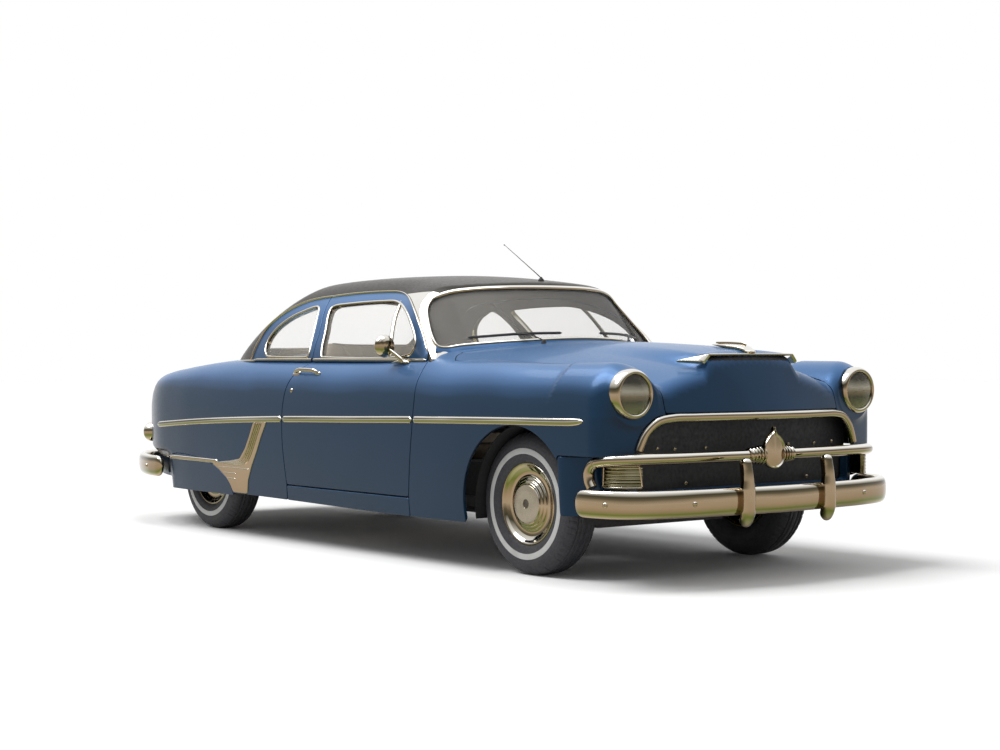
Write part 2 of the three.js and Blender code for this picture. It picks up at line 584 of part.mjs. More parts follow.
// A section [across, up] carried along a path; size scales the section from 0 to 1 along it.
function sweep(path, section, size = () => 1) {
  const tangents = path.map((p, i) => {
    const a = path[Math.max(0, i - 1)];
    const b = path[Math.min(path.length - 1, i + 1)];
    return new THREE.Vector3(b[0] - a[0], b[1] - a[1], b[2] - a[2]).normalize();
  });
  let side = new THREE.Vector3(0, 0, 1).cross(tangents[0]);
  if (side.length() < 0.1) side = new THREE.Vector3(0, 1, 0);
  return closedRings(path.map((p, i) => {
    side.addScaledVector(tangents[i], -side.dot(tangents[i])).normalize();
    const up = new THREE.Vector3().crossVectors(tangents[i], side);
    const k = size(i / (path.length - 1));
    const at = (u, v, c) => p[c] + k * (u * side.getComponent(c) + v * up.getComponent(c));
    return section.map(([u, v]) => [0, 1, 2].map((c) => at(u, v, c)));
  }));
}
function pathThrough(points, count) {
  const path = new THREE.CatmullRomCurve3(points.map((p) => new THREE.Vector3(...p)), false, "centripetal");
  return path.getSpacedPoints(count).map((p) => p.toArray());
}
const oval = (w, h, n) =>
  range(0, 2 * Math.PI, n).slice(0, n).map((t) => [(w / 2) * Math.cos(t), (h / 2) * Math.sin(t)]);
// a bar's half path, mirrored to run from the right end to the left end
const bothEnds = (half) => [...half.slice(1).reverse().map(([x, y, z]) => [x, -y, z]), ...half];
// round ends: the section shrinks over the first and last few steps
const roundEnds = (t) => Math.sqrt(Math.max(0.04, 1 - Math.max(0, (Math.abs(t - 0.5) - 0.47) / 0.03) ** 2));

const BUMPER_Z = 394;
const FRONT_BUMPER = [
  [2592, 0, BUMPER_Z], [2570, 350, BUMPER_Z], [2542, 600, BUMPER_Z], [2482, 800, BUMPER_Z],
  [2395, 905, BUMPER_Z], [2285, 946, BUMPER_Z], [2160, 950, BUMPER_Z],
];
const REAR_BUMPER_Z = 375;
const REAR_BUMPER = [
  [-2618, 0, REAR_BUMPER_Z], [-2608, 400, REAR_BUMPER_Z], [-2570, 600, REAR_BUMPER_Z],
  [-2480, 725, REAR_BUMPER_Z], [-2330, 815, REAR_BUMPER_Z], [-2140, 895, REAR_BUMPER_Z],
  [-1980, 938, REAR_BUMPER_Z], [-1820, 948, REAR_BUMPER_Z],
];
const GRILLE_BAR_Z = 598;
const GRILLE_BAR_RADIUS = 27;
const GRILLE_BAR = [
  [2484, 0, GRILLE_BAR_Z], [2476, 300, GRILLE_BAR_Z], [2457, 600, GRILLE_BAR_Z], [2424, 750, GRILLE_BAR_Z],
  [2360, 850, GRILLE_BAR_Z - 4], [2278, 892, GRILLE_BAR_Z - 12], [2226, 900, 570], [2202, 902, 536],
  [2204, 902, 495], [2222, 900, 462],
];
const GUARD_Y = 277;
const guardPath = (y, nose) => [
  [nose - 70, y, 285], [nose - 36, y, 330], [nose - 32, y, 430], [nose - 34, y, 540], [nose - 52, y, 600],
];
const bumperBar = (half, count, gap) =>
  sweep(pathThrough(bothEnds(half), count), oval(52 + 2 * gap, 130 + 2 * gap, 10), roundEnds);
const frontBar = (gap) => bumperBar(FRONT_BUMPER, 22, gap);
function addBumpers() {
  const tips = (t) => (t < 0.1 || t > 0.9 ? 0.75 : 1);
  const guard = (y, nose) => sweep(pathThrough(guardPath(y, nose), 5), oval(62, 60, 8), tips);
  const bracket = (x0, x1) => join(...[-430, 430].map((y) => box(x0, x1, y - 25, y + 25, 350, 400)));
  const front = join(frontBar(0), guard(GUARD_Y, HALF_LENGTH), guard(-GUARD_Y, HALF_LENGTH));
  addPart("front_bumper", join(front, bracket(2412, 2570)), "chrome");
  const rearGuards = [GUARD_Y, -GUARD_Y].map((y) => guard(y, HALF_LENGTH).rotate([0, 0, 180]));
  const rear = join(bumperBar(REAR_BUMPER, 24, 0), ...rearGuards.map((g) => g.translate([0, 0, -12])));
  addPart("rear_bumper", join(rear, bracket(-2600, -2565)), "chrome");
}
const grilleBar = (radius) => sweep(pathThrough(bothEnds(GRILLE_BAR), 30), oval(2 * radius, 2 * radius, 8));
function addGrille() {
  const half = [[0, 783], [430, 783], [560, 781], [635, 766], [697, 716], [729, 655], [737, 632]];
  const arch = [...half.slice(1).reverse().map(([y, z]) => [-y, z]), ...half]
    .map(([y, z]) => [noseX(Math.abs(y), z) + 4, y, z]);
  addPart("grille_surround", sweep(pathThrough(arch, 28), oval(26, 26, 8)), "chrome");
  const spade = through([
    [0, 640 + 85], [12, 700], [22, 672], [48, 640], [56, 600], [44, 560], [0, 536], [-44, 560], [-56, 600], [-48, 640],
    [-22, 672], [-12, 700],
  ], 24).slice(0, 24);
  const badge = prismX(spade, 2496, 2524);
  addPart("grille_bar", join(grilleBar(GRILLE_BAR_RADIUS), badge), "chrome");
  const backing = sweep(
    pathThrough(bothEnds([[2330, 0, 614], [2320, 400, 614], [2286, 748, 614]]), 12),
    [[-4, -179], [4, -179], [4, 179], [-4, 179]],
  );
  addPart("grille_backing", backing, "black");
}

// ---------------------------------------------------------------- lamps and mirrors
function addLamps() {
  const { x, y, z, radius } = HEADLAMP;
  const lamp = turnedX([
    [0, -150], [99, -150], [99, -46], [radius - 4, -44], [radius, -6], [radius - 8, 6], [radius - 22, 0], [55, 14],
    [0, 20],
  ], x, y, z, 16);
  addPair("headlamp", lamp, "chrome");
  const bulb = solid(new THREE.SphereGeometry(1, 16, 10).scale(56, 62, 66).translate(-2388, 698, 568));
  addPair("tail_lamp", bulb.subtract(bodySkin(1, BODY_FINE)), "red");
  // the parking lamp fills the room between the end of the grille bar and the apron
  const face = through([[2412, 762], [2372, 822], [2310, 852], [2246, 858]], 6);
  const block = prismZ([...face, [2180, 858], [2180, 757], [2410, 757]], 468, 566);
  const lampRoom = join(skin(apronBody, 1, APRON_GRID), grilleBar(GRILLE_BAR_RADIUS + 3), frontBar(4));
  addPair("parking_lamp", block.subtract(lampRoom), "chrome");
}

// ---------------------------------------------------------------- wheels, axles and chassis
const TYRE_PROFILE = [
  [200, -76], [245, -96], [285, -100], [320, -90], [342, -68], [350, -40], [350, 40], [342, 68], [320, 90],
  [285, 100], [245, 96], [200, 76], [200, -76],
];
const WHEEL_PROFILE = [
  [0, 90], [56, 88], [64, 80], [102, 74], [138, 60], [172, 62], [199, 80], [199, -76], [186, -76], [176, 20], [0, 32],
];
const KINGPIN_Y = 650;
const WHEEL_SIDE = { front: FRONT_TRACK / 2, rear: REAR_TRACK / 2 };
function addWheels() {
  for (const [end, x] of [["front", FRONT_AXLE_X], ["rear", REAR_AXLE_X]]) {
    const y = WHEEL_SIDE[end];
    const tyre = turnedY(TYRE_PROFILE, x, y, TYRE_RADIUS, 24);
    const wheel = turnedY(WHEEL_PROFILE, x, y, TYRE_RADIUS, 24);
    SIDES.forEach(([side, place]) => {
      addPart(side + "_" + end + "_tyre", place(tyre), "rubber");
      addPart(side + "_" + end + "_wheel", place(wheel), "chrome");
    });
  }
}
function addAxles() {
  const wheelY = WHEEL_SIDE.front;
  const stub = [[0, KINGPIN_Y - 15], [28, KINGPIN_Y - 15], [28, wheelY + 20], [18, wheelY + 26], [0, wheelY + 26]];
  const spindle = turnedY(stub, FRONT_AXLE_X, 0, TYRE_RADIUS, 12);
  const upright = box(FRONT_AXLE_X - 22, FRONT_AXLE_X + 22, KINGPIN_Y - 18, KINGPIN_Y + 18, 252, 448);
  const steeringArm = box(FRONT_AXLE_X - 150, FRONT_AXLE_X, KINGPIN_Y - 44, KINGPIN_Y - 14, 318, 342);
  addPair("steering_knuckle", join(spindle, upright, steeringArm), "steel");

  const wishbone = [[-12, KINGPIN_Y - 2], [12, KINGPIN_Y - 2], [115, 430], [-115, 430]];
  const arm = (z) => prismZ(wishbone.map(([x, y]) => [FRONT_AXLE_X + x, y]), z, z + 22);
  const arms = join(arm(225), arm(453));
  const beam = box(FRONT_AXLE_X - 90, FRONT_AXLE_X + 90, -435, 435, 215, 285);
  const post = box(FRONT_AXLE_X - 60, FRONT_AXLE_X + 60, 395, 435, 215, 500);
  addPart("front_suspension", join(beam, post, mirrored(post), arms, mirrored(arms)), "steel");

  const end = WHEEL_SIDE.rear + 26;
  const casing = [[0, -end], [38, -end], [38, -150], [120, -80], [140, 0], [120, 80], [38, 150], [38, end], [0, end]];
  const axle = turnedY(casing, REAR_AXLE_X, 0, TYRE_RADIUS, 12);
  const leaf = [[-2170, 520, 330], [-1900, 520, 275], [-1502, 520, 262], [-1200, 520, 285], [-1125, 520, 300]];
  const spring = sweep(pathThrough(leaf, 10), [[-30, -14], [30, -14], [30, 14], [-30, 14]]);
  const clamp = box(REAR_AXLE_X - 50, REAR_AXLE_X + 50, 485, 555, 250, 400);
  const from = REAR_AXLE_X + 100;
  const shaft = turnedX([[0, from], [36, from], [36, 990], [0, 990]], 0, 0, TYRE_RADIUS, 10);
  addPart("rear_axle", join(axle, spring, mirrored(spring), clamp, mirrored(clamp), shaft), "steel");
}
const EXHAUST_Z = 224.5;
const EXHAUST_PATH = [
  [1150, -250, EXHAUST_Z], [900, -250, EXHAUST_Z], [0, -250, EXHAUST_Z], [-950, -250, EXHAUST_Z],
  [-1110, -250, EXHAUST_Z], [-1190, -250, 262], [-1300, -250, 410],
  [-1502, -250, 456], [-1700, -310, 430], [-1880, -455, 320], [-2200, -455, 292], [-2555, -465, 288],
];
function addChassis() {
  const outline = [
    [-814, 264], [-130, 264], [-100, 452], [100, 452], [130, 264], [814, 264], [814, 281], [146, 281], [114, 470],
    [-114, 470], [-146, 281], [-814, 281],
  ];
  addPart("floor_pan", prismX(outline, -1066, 982), "black");
  const trunkFloor = box(-2470, -1110, -560, 560, 520, 534);
  const wheelhouse = box(-1900, -1110, 560, 574, 420, 880);
  addPart("trunk_floor", join(trunkFloor, wheelhouse, mirrored(wheelhouse)), "black");
  const rail = box(1012, 2320, 400, 460, 300, 420);
  const crossmembers = join(box(2080, 2140, -460, 460, 300, 380), box(1012, 1062, -460, 460, 300, 380));
  const gap = box(1546, 1744, -480, 480, 200, 520);
  addPart("front_frame", join(rail, mirrored(rail), crossmembers).subtract(gap), "steel");
  const mount = box(1380, 1420, -399.5, 399.5, 380, 424);
  const block = box(1180, 1940, -150, 150, 420, 820);
  addPart("engine", join(block, box(1068, 1180, -110, 110, 300, 560), mount), "steel");
  addPart("fuel_tank", box(-2380, -1960, -420, 420, 349, 519.5), "steel");
  const pipe = sweep(pathThrough(EXHAUST_PATH, 18), oval(50, 50, 6));
  const can = [-650, -600, 0, 50].map((x) => [x, -250, EXHAUST_Z]);
  const muffler = sweep(can, oval(170, 78, 10), (t) => (t > 0.2 && t < 0.8 ? 1 : 0.6));
  addPart("exhaust", join(pipe, muffler), "steel");
}

// ---------------------------------------------------------------- cabin
const WHEEL_TILT = 0.42;
// the room inside doors, pillars, dashboard line and bulkhead, a little smaller all round
function cabinRoom() {
  const clear = 6;
  const tunnel = prismX([[-156, 0], [156, 0], [156, 285], [122, 476], [-122, 476], [-156, 285]], -1200, 1100);
  const room = join(cabinSkin(-FRAME_WALL - clear, 900), bodySkin(-CABIN_WALL - clear));
  return room.intersect(slab(BULKHEAD_X + 22, FIREWALL_X - 3, 284)).subtract(tunnel);
}
function addCabin() {
  const room = cabinRoom();
  const bench = (cushion, back, y) => prismY([...cushion, ...back], -y, y).intersect(room);
  addPart("front_seat", bench(
    [[-490, 284], [10, 284], [100, 400], [128, 530], [90, 600], [-50, 605], [-260, 570]],
    [[-330, 600], [-420, 1080], [-455, 1145], [-510, 1150], [-548, 1100], [-540, 500]], 640), "fabric");
  addPart("rear_seat", bench(
    [[-1060, 284], [-800, 284], [-755, 400], [-738, 520], [-765, 575], [-840, 580], [-900, 560]],
    [[-930, 600], [-985, 1080], [-1010, 1135], [-1040, 1140], [-1062, 1100], [-1066, 400]], 620), "fabric");
  const placed = (m) => m.rotate([0, -90 + (WHEEL_TILT * 180) / Math.PI, 0]).translate([400, 370, 950]);
  const tube = (radius, length, from) =>
    placed(solid(new THREE.CylinderGeometry(radius, radius, length, 12).rotateX(Math.PI / 2).translate(0, 0, from)));
  const panel = [[700, 900], [690, 1000], [715, 1050], [780, 1080], [970, 1080], [970, 900], [860, 820], [730, 840]];
  const dash = prismY(panel, -664, 664).intersect(room).subtract(tube(28, 560, -334));
  addPart("dashboard", dash, "body");
  addPart("steering_column", tube(26, 540, -334), "black");

  const rim = solid(new THREE.TorusGeometry(205, 12, 6, 18));
  const spoke = box(-200, 200, -14, 14, -8, 8);
  const hub = solid(new THREE.CylinderGeometry(38, 46, 60, 12).rotateX(Math.PI / 2));
  addPart("steering_wheel", placed(join(rim, spoke, hub)), "black");
}
function addMirrors() {
  const head = turnedX([[0, -34], [24, -30], [42, -16], [52, 0], [54, 8], [48, 12], [0, 10]], 560, 905, 1122, 16);
  const stem = sweep([[662, 862, 1040], [650, 868, 1052], [600, 892, 1096], [562, 905, 1122]], oval(14, 14, 8));
  const taper = (t) => (t < 0.9 ? 1 : 0.5);
  const foot = sweep([[700, 848, 1033], [668, 852, 1040], [560, 862, 1030]], oval(34, 26, 8), taper);
  const skins = join(bodySkin(1, BODY_FINE), cabinSkin(1, BELT - 8, CABIN_FINE));
  addPair("mirror", join(head, stem, foot).subtract(skins), "chrome");
  const base = turnedY([[0, 0], [16, 0], [14, 12], [6, 20], [0, 20]], 0, 0, 0, 10).rotate([90, 0, 0]);
  const mast = sweep([[765, 0, 1495], [700, 0, 1540], [440, 0, 1695]], oval(6, 6, 6));
  addPart("antenna", join(base.translate([765, 0, 1485.5]), mast), "chrome");
}
addWindows(addBodyPanels());
addBumpers();
addGrille();
addLamps();
addWheels();
addAxles();
addChassis();
addCabin();
addMirrors();
export default group;
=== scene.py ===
# %% [markdown]
# # A long two-door coupe of the early nineteen-fifties
# The car is built over a ready frame: every panel, wheel and lamp already has its size and place there,
# and this lesson gives each of them its real surface. A car body is one smooth form cut into panels, so
# the first cells write that form down as a formula, and the panels are then laid out on it like patterns
# on cloth. Everything is worked out in millimetres and scaled to metres when a mesh is made.

# %% Load the frame
import math
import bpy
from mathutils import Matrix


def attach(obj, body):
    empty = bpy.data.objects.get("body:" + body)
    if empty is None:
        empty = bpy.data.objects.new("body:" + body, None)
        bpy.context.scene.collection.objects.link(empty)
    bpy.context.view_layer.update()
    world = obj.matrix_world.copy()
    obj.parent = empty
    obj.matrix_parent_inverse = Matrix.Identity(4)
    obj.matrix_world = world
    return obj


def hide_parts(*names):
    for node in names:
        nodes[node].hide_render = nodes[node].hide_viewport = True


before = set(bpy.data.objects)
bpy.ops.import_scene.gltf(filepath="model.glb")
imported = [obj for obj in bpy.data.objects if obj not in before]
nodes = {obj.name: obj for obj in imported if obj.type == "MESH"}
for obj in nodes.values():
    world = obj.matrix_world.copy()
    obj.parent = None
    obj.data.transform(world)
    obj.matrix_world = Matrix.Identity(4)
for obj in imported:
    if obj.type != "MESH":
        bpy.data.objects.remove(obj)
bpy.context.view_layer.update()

from types import SimpleNamespace

import bpy
import numpy as np
from mathutils import Vector
from mathutils.geometry import delaunay_2d_cdt

MM = 0.001

# %% [markdown]
# ## Driving dimensions
# X points forwards, Y to the car's left and Z up, with the ground at zero. The wheels, the edges of the
# doors and the belt line under the windows are the sizes that everything else hangs on.

# %% Driving dimensions
FRONT_AXLE, REAR_AXLE = 1645.0, -1502.0
FRONT_WHEEL_Y, REAR_WHEEL_Y = 735.0, 697.0
TYRE_RADIUS = 350.0
HINGE = (838.0, 972.0)
LAMP = (2376.0, 772.0, 894.0)
LAMP_RADIUS = 115.0
BULGE_HALF = 300.0
SHEET = 16.0
DOOR_DEPTH = 84.0
FRAME_DEPTH = 34.0
SHUT = 1.2
ROUND = 2.6
SHOULDER_ROUND, NOSE_ROUND, TAIL_ROUND, BARREL_ROUND = 70, 60, 100, 80
SCREEN_ROUND, BACKLIGHT_ROUND = 40, 150
SIDES = (("right", -1), ("left", 1))

# %% [markdown]
# ## Smooth curves through a few numbers
# A stylist's section lines are drawn with a bent spline: a few fixed heights and a smooth line between
# them. The helper below runs a curve that never overshoots through rows of (place, value), and then
# averages it over a short distance, the way a lead-filled and sanded panel loses its last corners.

# %% Curves
def hermite(rows, x):
    """A curve through the rows that doesn't overshoot them."""
    t, v = np.array(rows, float).T
    step = np.diff(v) / np.diff(t)
    slope = np.concatenate([[step[0]], np.zeros(len(t) - 2), [step[-1]]])
    for i in range(1, len(t) - 1):
        if step[i - 1] * step[i] > 0:
            slope[i] = 2 * step[i - 1] * step[i] / (step[i - 1] + step[i])
    i = np.clip(np.searchsorted(t, x) - 1, 0, len(t) - 2)
    h = t[i + 1] - t[i]
    s = np.clip((x - t[i]) / h, 0, 1)
    a = (1 - s) ** 2
    inside = a * (1 + 2 * s) * v[i] + a * s * h * slope[i]
    inside = inside + s * s * (3 - 2 * s) * v[i + 1] - s * s * (1 - s) * h * slope[i + 1]
    return inside + slope[0] * np.minimum(x - t[0], 0) + slope[-1] * np.maximum(x - t[-1], 0)


def curve(rows, blur):
    """The same curve averaged over a bell of that width, as a function."""
    pitch = blur / 12
    margin = 6 * blur
    grid = np.arange(rows[0][0] - 2 * margin, rows[-1][0] + 2 * margin, pitch)
    bell = np.exp(-0.5 * (np.arange(-36, 37) / 12) ** 2)
    soft = np.convolve(hermite(rows, grid), bell / bell.sum(), "valid")
    grid = grid[36:-36]
    return lambda x: np.interp(x, grid, soft)


# %% [markdown]
# ## The body as a formula
# The lower body is the overlap of a side, a top and two ends, with the corners between them rolled to a
# radius. The greenhouse above it is a second form of the same kind. Each formula is below zero inside
# the car and grows by about one for each millimetre outside it, so sheet thickness is just another level.

# %% Section tables
side_profile = curve([
    (150, 930), (240, 940), (350, 950), (500, 960), (650, 966), (750, 967),
    (850, 958), (920, 937), (970, 907), (1010, 876), (1060, 838), (1150, 740),
], 14)
side_inset = curve([
    (-2650, 440), (-2480, 305), (-2400, 250), (-2234, 168), (-2050, 82), (-1900, 42),
    (-1700, 24), (-1502, 12), (-900, 2), (1045, 0), (1645, 6), (2045, 12), (2345, 24), (2650, 110),
], 50)
shoulder_drop = curve([
    (-2600, 150), (-2400, 90), (-2125, 25), (-1731, 12), (-1454, 8), (-1000, 2),
    (-500, 0), (1200, 0), (1800, 6), (2350, 12), (2650, 16),
], 90)
top_centre = curve([
    (-2650, 860), (-2545, 895), (-2450, 928), (-2300, 965), (-2000, 1012), (-1700, 1047),
    (-1300, 1082), (-900, 1095), (-300, 1085), (300, 1110), (863, 1165), (1130, 1152),
    (1500, 1138), (1900, 1102), (2150, 1070), (2366, 1033), (2650, 990),
], 80)
top_crown = curve([
    (-2650, 34), (-700, 34), (300, 50), (863, 60), (1130, 75), (1500, 95), (1900, 118),
    (2366, 148), (2650, 160),
], 80)
bulge_height = curve([
    (-2650, 0), (1200, 0), (1500, 6), (1900, 26), (2150, 44), (2366, 63), (2650, 84),
], 80)
bulge_edge = curve([(-2650, 170), (1200, 170), (1700, 110), (2100, 60), (2366, 30), (2650, 30)], 60)
fender_crown = curve([
    (-2650, 600), (-1500, 960), (-900, 1038), (-300, 1046), (1300, 1046), (1800, 1036),
    (2350, 1032), (2650, 1024),
], 90)
crown_width = curve([(-2650, 408), (1300, 408), (1900, 333), (2350, 267), (2650, 262)], 80)
body_bottom = curve([
    (-2650, 330), (-1900, 310), (-1303, 280), (-995, 258), (-245, 250), (845, 238),
    (1295, 240), (1700, 270), (2100, 315), (2650, 325),
], 60)
glass_profile = curve([
    (900, 880), (1000, 856), (1045, 841), (1100, 819), (1200, 765), (1300, 705), (1400, 640),
    (1500, 572), (1600, 500),
], 20)
glass_inset = curve([(-1500, 240), (-1300, 130), (-1100, 50), (-912, 8), (-600, 0), (1200, 0)], 60)
roof_centre = curve([
    (-1500, 1340), (-1200, 1436), (-1000, 1478), (-800, 1509), (-500, 1530), (-250, 1534),
    (100, 1530), (400, 1516), (755, 1484), (1000, 1450), (1200, 1415),
], 70)


# %% The formulas
def round_max(f, g, r):
    return np.maximum(f, g) + (r / 4) * np.maximum(0, 1 - np.abs(f - g) / r) ** 2


def round_min(f, g, r):
    return -round_max(-f, -g, r)


def ramp(t):
    t = np.clip(t, 0, 1)
    return t * t * (3 - 2 * t)


def tuck(x, z):
    """The side tucks in behind the ends of the rear bumper."""
    return 45 * ramp((-1720 - x) / 160) * ramp((490 - z) / 60)


def body_half_width(x, z):
    shoulder = np.where(z < 650, z, 650 + (z - 650) * 395 / (395 - shoulder_drop(x)))
    return side_profile(shoulder) - side_inset(x) - tuck(x, z)


def body_top(x, a):
    bulge = bulge_height(x) * (1 - ramp((a - BULGE_HALF) / (2 * bulge_edge(x)) + 0.5))
    middle = top_centre(x) - top_crown(x) * (a / 650) ** 2 + bulge
    return round_max(middle, fender_crown(x) - 200 * ((a - 785) / crown_width(x)) ** 2, 25)


def nose_x(a, z):
    return 2445 - 88 * (a / 739) ** 2 - 0.28 * np.maximum(0, z - 790)


def tail_x(a, z):
    return -2560 + 0.00018 * a * a + 0.25 * np.maximum(0, z - 800)


def nacelle(x, a, z):
    """The short barrel round the headlamp that the fender runs out into."""
    barrel = np.hypot(a - LAMP[1], z - LAMP[2]) - LAMP_RADIUS + 2
    return np.maximum(barrel, np.abs(x - LAMP[0] + 198) - 150)


def lower_body(x, a, z):
    side = round_max(a - body_half_width(x, z), z - body_top(x, a), SHOULDER_ROUND)
    whole = round_max(round_max(side, x - nose_x(a, z), NOSE_ROUND), tail_x(a, z) - x, TAIL_ROUND)
    return round_min(whole, nacelle(x, a, z), BARREL_ROUND)


def apron_body(x, a, z):
    """The body under the grille, drawn in so that bumper and grille bar pass round it."""
    side = a - body_half_width(x, z) + 88 * ramp((x - 2040) / 150)
    return round_max(side, x - nose_x(a, z) + 45, 100)


def screen_x(a, z):
    reach = round_min(a, 700.0, 60)
    return 1145 - (225 / 290) * (z - 1150) - (0.00068 + 0.35e-6 * (z - 1128)) * reach * reach


def backlight_x(a, z):
    return -1452 + 1.45 * (z - 1090) + 215 * (a / 750) ** 2.5


def greenhouse(x, a, z):
    side = a - glass_profile(z) + glass_inset(x) - 30 * ramp((x - 250) / 400) * ramp((z - 1080) / 200)
    roof = z - roof_centre(x) + 60 * (a / 600) ** 2
    shell = round_max(side, roof, 188 - 78 * ramp((x - 150) / 500))
    shell = round_max(shell, x - screen_x(a, z), SCREEN_ROUND)
    return round_max(shell, backlight_x(a, z) - x, BACKLIGHT_ROUND)


# %% [markdown]
# ## Finding the surface
# A form given by a formula is found by walking along rays until the value passes the wanted level. The
# rays start on a spine inside the car and fan out round its ends, so every point of the skin has two
# flat numbers: how far along the spine, and how far round. Panel outlines are drawn in those numbers.

# %% Rays and the flat pattern
def skin(formula, z, first, last, radius=800.0, y=0.0):
    """A form with the spine that its rays start from, which runs along X at that height and side."""
    return SimpleNamespace(formula=formula, y=y, z=z, first=first, last=last, radius=radius)


BODY = skin(lower_body, 620.0, -2400.0, 2300.0)
FENDER = skin(lower_body, 650.0, -2400.0, 2250.0, y=640.0)
HOOD = skin(lower_body, 300.0, -2400.0, 2000.0)
LID = skin(lower_body, 300.0, -2250.0, 2300.0)
TAIL = skin(lower_body, 850.0, -2250.0, 2300.0)
APRON = skin(apron_body, 625.0, -2400.0, 2250.0)


def cabin_skin(lift=0.0):
    """The cabin's form moved out by that much, or in where it is negative."""
    return skin(lambda x, a, z: greenhouse(x, a, z) - lift, 980.0, -880.0, 580.0, 500.0)


CABIN = cabin_skin()


STRIDES, HALVINGS, NORMAL_REACH = 50, 18, 4.0


def value_at(skin, p):
    return skin.formula(p[:, 0], np.abs(p[:, 1]), p[:, 2])


def cast(skin, origin, direction, level=0.0, far=1500.0):
    """The first point where each ray leaves the level: long strides to the crossing, then halving."""
    level = np.broadcast_to(level, len(origin))
    near = np.zeros(len(origin))
    out = np.full(len(origin), far)
    still_in = np.ones(len(origin), bool)
    for stride in np.linspace(far / STRIDES, far, STRIDES):
        inside = value_at(skin, origin + direction * stride) < level
        near = np.where(still_in & inside, stride, near)
        out = np.where(still_in & ~inside, stride, out)
        still_in &= inside
    for _ in range(HALVINGS):
        middle = (near + out) / 2
        inside = value_at(skin, origin + direction * middle[:, None]) < level
        near = np.where(inside, middle, near)
        out = np.where(inside, out, middle)
    return origin + direction * near[:, None]


def flat(skin, p):
    """Points of the skin as flat pattern coordinates."""
    on_spine = np.clip(p[:, 0], skin.first, skin.last)
    across = np.hypot(p[:, 1] - skin.y, p[:, 2] - skin.z)
    along = on_spine + skin.radius * np.arctan2(p[:, 0] - on_spine, across)
    return np.stack([along, skin.radius * np.arctan2(p[:, 2] - skin.z, p[:, 1] - skin.y)], 1)


def shaped(skin, uv, level=0.0):
    """Flat pattern coordinates as points of the skin."""
    on_spine = np.clip(uv[:, 0], skin.first, skin.last)
    lean = (uv[:, 0] - on_spine) / skin.radius
    turn = uv[:, 1] / skin.radius
    direction = np.stack([np.sin(lean), np.cos(lean) * np.cos(turn), np.cos(lean) * np.sin(turn)], 1)
    origin = np.stack([on_spine, np.full(len(uv), skin.y), np.full(len(uv), skin.z)], 1)
    return cast(skin, origin, direction, level)


def normals_of(skin, p):
    """The direction straight out of the skin, from its values on either side of each point."""
    n = np.zeros_like(p)
    for k in range(3):
        step = np.zeros(3)
        step[k] = NORMAL_REACH
        n[:, k] = value_at(skin, p + step) - value_at(skin, p - step)
    return n / np.linalg.norm(n, axis=1)[:, None]


# %% [markdown]
# ## Outlines
# Shut lines are smooth curves with rounded corners. They are given as a few points seen from the side,
# from above or from the front, run through a spline, and dropped onto the skin along that view.

# %% Outline helpers
def spline(points, count, closed=False):
    """A centripetal spline through points of any size, as count evenly spaced points."""
    p = np.array(points, float)
    ends = (p[-1:], p[:2]) if closed else (2 * p[:1] - p[1:2], 2 * p[-1:] - p[-2:-1])
    p = np.concatenate([ends[0], p, ends[1]])
    pieces = []
    for a, b, c, d in zip(p, p[1:], p[2:], p[3:]):
        t0 = 0.0
        t1 = t0 + max(1e-6, np.linalg.norm(b - a)) ** 0.5
        t2 = t1 + max(1e-6, np.linalg.norm(c - b)) ** 0.5
        t3 = t2 + max(1e-6, np.linalg.norm(d - c)) ** 0.5
        t = np.linspace(t1, t2, 24, endpoint=False)[:, None]
        ab = a + (b - a) * (t - t0) / (t1 - t0)
        bc = b + (c - b) * (t - t1) / (t2 - t1)
        cd = c + (d - c) * (t - t2) / (t3 - t2)
        abc = ab + (bc - ab) * (t - t0) / (t2 - t0)
        bcd = bc + (cd - bc) * (t - t1) / (t3 - t1)
        pieces.append(abc + (bcd - abc) * (t - t1) / (t2 - t1))
    path = np.concatenate(pieces + ([pieces[0][:1]] if closed else [p[-2:-1]]))
    return even(path, count, closed)


def even(path, count, closed=False):
    """A path resampled to evenly spaced points."""
    run = np.concatenate([[0], np.cumsum(np.linalg.norm(np.diff(path, axis=0), axis=1))])
    at = np.linspace(0, run[-1], count, endpoint=not closed)
    return np.stack([np.interp(at, run, path[:, k]) for k in range(path.shape[1])], 1)


def from_side(skin, xz):
    origin = np.stack([xz[:, 0], np.full(len(xz), 60.0), xz[:, 1]], 1)
    return cast(skin, origin, np.broadcast_to([0.0, 1.0, 0.0], origin.shape))


def from_above(skin, xy, z=620.0):
    origin = np.stack([xy[:, 0], xy[:, 1], np.full(len(xy), z)], 1)
    return cast(skin, origin, np.broadcast_to([0.0, 0.0, 1.0], origin.shape), far=1000.0)


def from_front(skin, yz, start=2100.0):
    """Points in front of the start, or behind it when that is negative. Each ray sets off from the
    deepest of a few places, because one place alone may lie outside the form."""
    yz = np.asarray(yz, float)
    way = 1.0 if start > 0 else -1.0
    tries = [np.c_[np.full(len(yz), start + way * step), yz] for step in np.arange(5) * 80.0]
    deepest = np.argmin([value_at(skin, p) for p in tries], axis=0)
    origin = np.stack(tries)[deepest, np.arange(len(yz))]
    return cast(skin, origin, np.tile([way, 0.0, 0.0], (len(yz), 1)))


def fan(skin, origin, a, b, count):
    """The line on the skin in the plane through an inner point and two directions."""
    origin = np.array(origin, float)
    u, w = np.array(a, float) - origin, np.array(b, float) - origin
    u, w = u / np.linalg.norm(u), w / np.linalg.norm(w)
    angle = math.acos(np.clip(u @ w, -1, 1))
    t = np.linspace(0, 1, count)[:, None]
    direction = (np.sin((1 - t) * angle) * u + np.sin(t * angle) * w) / math.sin(angle)
    return cast(skin, np.broadcast_to(origin, direction.shape), direction)


